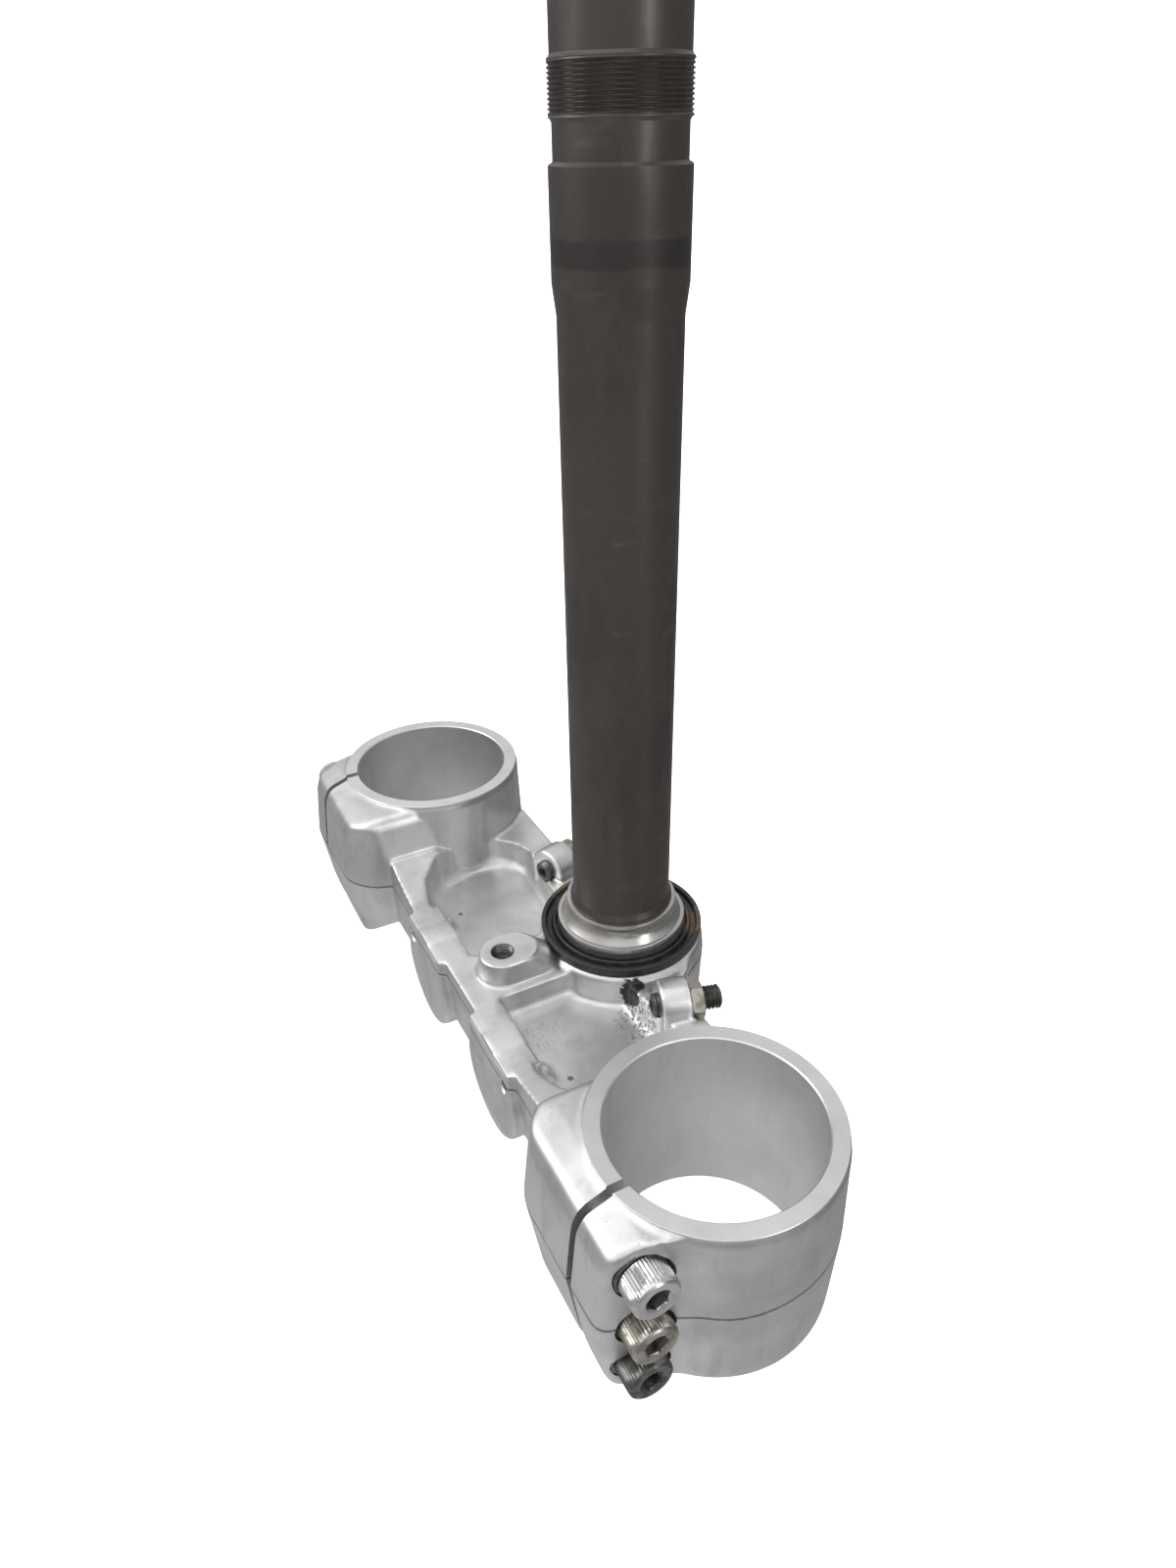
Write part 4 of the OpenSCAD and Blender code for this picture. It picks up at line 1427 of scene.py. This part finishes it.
@dataclass
class SocketScrew:
    """A socket head screw with a knurled head."""

    head_r: float = 6.5
    head_h: float = 8.0
    socket_af: float = 6.0
    socket_depth: float = 4.5
    shank_r: float = 3.96
    ridges: int = 44
    knurl: float = 0.26
    knurl_start: float = 0.9
    knurl_step: float = 0.7
    first_turn: float = 0.35
    row_turn: float = 0.5
    lay: Layout = LAYOUT

    def screw(self, side: Side, row: Row, finishes: Finishes) -> Piece:
        """Builds one screw.

        Args:
            side: left or right half.
            row: which of the three screws.
            finishes: the part's materials.

        Returns:
            The finished screw.
        """
        low = self.lay.washer_t
        high = low + self.head_h
        flat, shank, head = self.socket_af / 2, self.shank_r, self.head_r
        tip, floor = low - self.lay.screw_len, high - self.socket_depth
        rows = [(0, tip), (shank - 0.9, tip), (shank, tip + 1), (shank, low)]
        rows += [(head - 0.5, low), (head, low + 0.35)]
        rows += [(head, low + self.knurl_start + self.knurl_step * i) for i in range(8)]
        rows += [(head - 0.05, high - 1.05), (head - 0.2, high - 0.45), (head - 0.75, high)]
        rows += [(flat + 1.0, high), (flat + 0.45, high - 0.2), (flat, high - 0.55)]
        rows += [(flat, floor), (flat * 0.5, floor - 0.5), (0, floor - 0.9)]
        name = f"pinch_screw_{side.name.lower()}_{row.name.lower()}.shown"
        turn = Matrix.Rotation(self.first_turn + self.row_turn * row.value, 4, "Z")
        piece = turned(name, rows, 6 * self.ridges, self.shape, self.lay.pinch_axis(side, row) @ turn)
        crisp(piece, 28)
        dress(piece, finishes.screw(row), finishes.hole)
        paint_socket_shade(piece, self.lay.pinch_axis(side, row), flat * 1.16, high - 6, high - 0.9)
        return piece

    def shape(self, r: float, z: float, angle: float) -> float:
        """Radius of a point of the screw, with its knurl and its hexagon.

        Args:
            r: the row's radius.
            z: its height.
            angle: its angle round the axis.

        Returns:
            The radius in millimetres.
        """
        if r == self.head_r and z > self.lay.washer_t + self.knurl_start - self.knurl_step / 2:
            phase = (angle * self.ridges / (2 * math.pi)) % 1.0
            return r - self.knurl * abs(2 * phase - 1)
        if r == self.socket_af / 2:
            return hexagonal(r, angle)
        return r


@dataclass
class SteeringStop:
    """A stop screw with its cut thread and socket."""

    radius: float = 4.0
    length: float = 23.0
    front: float = 2.4
    pitch: float = 1.25
    depth: float = 0.6
    socket_af: float = 4.0
    plain_end: float = 0.8
    lay: Layout = LAYOUT

    @property
    def low(self) -> float:
        """Place of the screw's front end along its axis."""
        return -self.lay.stop_boss_len - self.front

    def screw(self, side: Side, finishes: Finishes) -> Piece:
        """Builds one stop screw.

        Args:
            side: left or right half.
            finishes: the part's materials.

        Returns:
            The finished screw.
        """
        low, flat = self.low, self.socket_af / 2
        high, floor = low + self.length, low + self.front + 2.0
        rows = [(0, floor - 0.5), (flat, floor), (flat, low + 0.25), (flat + 0.35, low)]
        rows += [(self.radius - 1.1, low), (self.radius - 0.35, low + 0.5)]
        threaded = self.length - 2 * self.plain_end
        steps = int(threaded / self.pitch * 10)
        rise = threaded / steps
        rows += [(self.radius - 0.02, low + self.plain_end + rise * i) for i in range(steps + 1)]
        rows += [(self.radius - 0.5, high - 0.4), (self.radius - 1.2, high), (0, high)]
        name = f"stop_screw_{side.name.lower()}.shown"
        piece = turned(name, rows, 72, self.shape, self.lay.stop_axis(side))
        crisp(piece, 40)
        dress(piece, finishes.dark, finishes.hole)
        paint_socket_shade(piece, self.lay.stop_axis(side), flat * 1.16, low + 0.5, floor + 0.2)
        return piece

    def shape(self, r: float, z: float, angle: float) -> float:
        """Radius of a point of the screw, with its thread and its hexagon.

        Args:
            r: the row's radius.
            z: its height.
            angle: its angle round the axis.

        Returns:
            The radius in millimetres.
        """
        if r == self.socket_af / 2:
            return hexagonal(r, angle)
        if abs(r - self.radius) > 0.05:
            return r
        past, left = z - (self.low + self.plain_end), self.low + self.length - self.plain_end - z
        fade = max(0.0, min(1.0, past / self.pitch * 2, left / self.pitch * 2))
        return r - self.depth * flute(z, angle, self.pitch, 1.25) * fade


@dataclass
class TappedHole:
    """The thread inside the centre boss's hole, dressed dark as painted shade."""

    root_r: float = 4.0
    crest_r: float = 3.38
    pitch: float = 1.25
    low: float = 26.2
    below_mouth: float = 0.12
    lead_in: float = 0.5
    lay: Layout = LAYOUT

    def build(self, finishes: Finishes) -> Piece:
        """Builds the threaded lining.

        Args:
            finishes: the part's materials.

        Returns:
            The finished lining.
        """
        high = self.lay.boss_z - self.below_mouth
        steps = int((high - self.low) / self.pitch * 8)
        rise = (high - self.low) / steps
        rows = [(self.root_r + 0.01, self.low)]
        rows += [(self.crest_r, self.low + rise * i) for i in range(steps + 1)]
        rows += [(self.root_r + 0.01, high)]
        piece = turned("boss_thread", rows, 64, self.shape, self.lay.boss_axis())
        crisp(piece, 50)
        # Painted shade: the thread takes the dark steel finish to stand in for the shade inside the hole.
        dress(piece, finishes.dark)
        return piece

    def shape(self, r: float, z: float, angle: float) -> float:
        """Radius of a point of the lining.

        Args:
            r: the row's radius.
            z: its height.
            angle: its angle round the axis.

        Returns:
            The radius in millimetres.
        """
        if r != self.crest_r:
            return r
        lead = max(0.0, 1 - (self.lay.boss_z - self.below_mouth - z) / self.lead_in)
        groove = flute(z, angle, self.pitch, 1.2)
        return r + (self.root_r - self.crest_r - 0.02) * max(groove, lead)


@dataclass(frozen=True)
class Studio:
    """The pale floor and sweep, the soft lights and the camera."""

    camera_at: Point = (254.74, -142.0, 278.7)
    azimuth: float = 152.97
    pitch_down: float = 31.95
    roll: float = 0.0197
    focal_px: float = 1076.27
    image_height_px: float = 1600.0
    sensor_mm: float = 24.0
    floor_tone: Colour = (0.86, 0.86, 0.86)
    floor_cloud: Colour = (0.80, 0.80, 0.81)
    floor_glow: float = 0.82
    front_glow: float = -0.42
    sky: tuple[tuple[float, float], ...] = (
        (-1.0, 0.58), (-0.55, 0.38), (-0.15, 0.20), (0.12, 0.28), (0.35, 0.80), (0.6, 0.96), (1.0, 0.7),
    )
    lamps: tuple[tuple[str, Point, Point, float, float, float], ...] = (
        ("top_light", (-100, -100, 1500), (0, 0, 60), 1200, 1200, 4),
        ("left_light", (-500, -1100, 800), (40, -60, 60), 700, 700, 5),
        ("right_light", (1300, 350, 500), (60, 0, 60), 300, 900, 3),
    )

    def build(self) -> None:
        """Builds the stage, the lights and the camera."""
        bpy.context.scene.view_settings.view_transform = "Standard"
        self.sweep()
        self.world()
        for lamp in self.lamps:
            self.softbox(*lamp)
        self.camera()

    def sweep(self) -> None:
        """Builds a floor that curves up into a wall all round."""
        radius, bend, wall = 2600.0, 900.0, 2600.0
        rows = [(0, 0.0), (radius, 0.0)]
        for i in range(1, 13):
            angle = i * math.pi / 24
            rows.append((radius + bend * math.sin(angle), bend - bend * math.cos(angle)))
        rows.append((radius + bend, wall))
        stage = turned("floor", rows, 96)
        stage.data.flip_normals()
        stage.data.shade_smooth()
        m = Nodes("floor")
        cloud = m.noise(2.0, 2, 0.5)
        tone = m.mix(m.times(cloud, 0.04), self.floor_tone, self.floor_cloud)
        m.join(tone, m.shader.inputs["Base Color"])
        m.shader.inputs["Roughness"].default_value = 0.85
        m.shader.inputs["Emission Color"].default_value = (1.0, 1.0, 1.0, 1.0)
        m.shader.inputs["Emission Strength"].default_value = self.floor_glow
        dress(stage, m.material)
        stage.visible_glossy = False

    def world(self) -> None:
        """Lights the scene from a sky that is bright overhead and grey at the horizon."""
        world = bpy.data.worlds.new("sky")
        world.use_nodes = True
        nodes, links = world.node_tree.nodes, world.node_tree.links
        place = nodes.new("ShaderNodeTexCoord")
        split = nodes.new("ShaderNodeSeparateXYZ")
        height = nodes.new("ShaderNodeMapRange")
        height.inputs["From Min"].default_value = -1.0
        ramp = nodes.new("ShaderNodeValToRGB")
        links.new(place.outputs["Generated"], split.inputs[0])
        links.new(split.outputs["Z"], height.inputs["Value"])
        links.new(height.outputs["Result"], ramp.inputs["Fac"])
        links.new(ramp.outputs["Color"], nodes["Background"].inputs["Color"])
        front = nodes.new("ShaderNodeMath")
        front.operation = "MULTIPLY_ADD"
        front.inputs[1].default_value = self.front_glow
        front.inputs[2].default_value = 1.0
        links.new(split.outputs["Y"], front.inputs[0])
        links.new(front.outputs["Value"], nodes["Background"].inputs["Strength"])
        stops = ramp.color_ramp.elements
        while len(stops) < len(self.sky):
            stops.new(0.5)
        for stop, (level, grey) in zip(stops, self.sky):
            stop.position = (level + 1) / 2
            stop.color = (grey, grey, grey * 1.01, 1.0)
        bpy.context.scene.world = world

    def softbox(self, name: str, at: Point, aim: Point, width: float, height: float, power: float) -> None:
        """Adds one soft light.

        Args:
            name: the light's name.
            at: its place in millimetres.
            aim: the point that it faces, in millimetres.
            width: its width in millimetres.
            height: its height in millimetres.
            power: its power in watts.
        """
        data = bpy.data.lights.new(name, "AREA")
        data.shape = "RECTANGLE"
        data.size = width * MM
        data.size_y = height * MM
        data.energy = power
        lamp = bpy.data.objects.new(name, data)
        lamp.location = Vector(at) * MM
        lamp.rotation_euler = (Vector(aim) - Vector(at)).to_track_quat("-Z", "Y").to_euler()
        bpy.context.scene.collection.objects.link(lamp)

    def camera(self) -> None:
        """Stands the camera where the photograph was taken from."""
        azimuth, down = math.radians(self.azimuth), math.radians(self.pitch_down)
        ahead = math.cos(down)
        look = Vector((math.cos(azimuth) * ahead, math.sin(azimuth) * ahead, -math.sin(down)))
        level = look.cross(Vector((0, 0, 1))).normalized()
        under = look.cross(level)
        right = level * math.cos(self.roll) + under * math.sin(self.roll)
        lower = under * math.cos(self.roll) - level * math.sin(self.roll)
        data = bpy.data.cameras.new("camera")
        data.sensor_fit = "VERTICAL"
        data.sensor_height = self.sensor_mm
        data.lens = self.focal_px / self.image_height_px * self.sensor_mm
        data.clip_start = 0.02
        camera = bpy.data.objects.new("camera", data)
        turn = Matrix((right, -lower, -look)).transposed().to_4x4()
        camera.matrix_world = Matrix.Translation(Vector(self.camera_at) * MM) @ turn
        bpy.context.scene.collection.objects.link(camera)
        bpy.context.scene.camera = camera


def corners(box: object) -> list[list[float]]:
    """A box's corners as plain lists of numbers."""
    return [[float(value) for value in corner] for corner in box]


def main() -> None:
    """Builds the dressed part, the stage and the camera."""
    logging.basicConfig(level=logging.INFO, format="%(message)s")
    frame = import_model()
    finishes = Finishes()

    clamp = ForgedClamp().build(frame["nodes"]["lower_clamp"], finishes)
    install(clamp, "forged_alloy", "lower_clamp")
    install(TappedHole().build(finishes), "forged_alloy")
    install(SteeringStem().build(finishes), "stem_steel", "steering_stem")
    bearing = BearingGroup()
    install(bearing.race(finishes), "race_steel", "bearing_race")
    install(bearing.seal(finishes), "seal_rubber", "dust_seal")

    slots = {Row.TOP: "bright_zinc", Row.MIDDLE: "yellowed_zinc", Row.BOTTOM: "dark_steel"}
    for side in Side:
        half = side.name.lower()
        for row in Row:
            level = row.name.lower()
            screw = SocketScrew().screw(side, row, finishes)
            install(screw, slots[row], f"pinch_screw_{half}_{level}")
            washer = frame["nodes"][f"pinch_washer_{half}_{level}"]
            # Painted shade: every washer takes the dark steel finish to stand in for the shade in the screw
            # seats.
            dress(washer, finishes.dark)
        install(SteeringStop().screw(side, finishes), "dark_steel", f"stop_screw_{half}")
        dress(frame["nodes"][f"stop_nut_{half}"], finishes.yellowed)

    Studio().build()


if __name__ == "__main__":
    main()
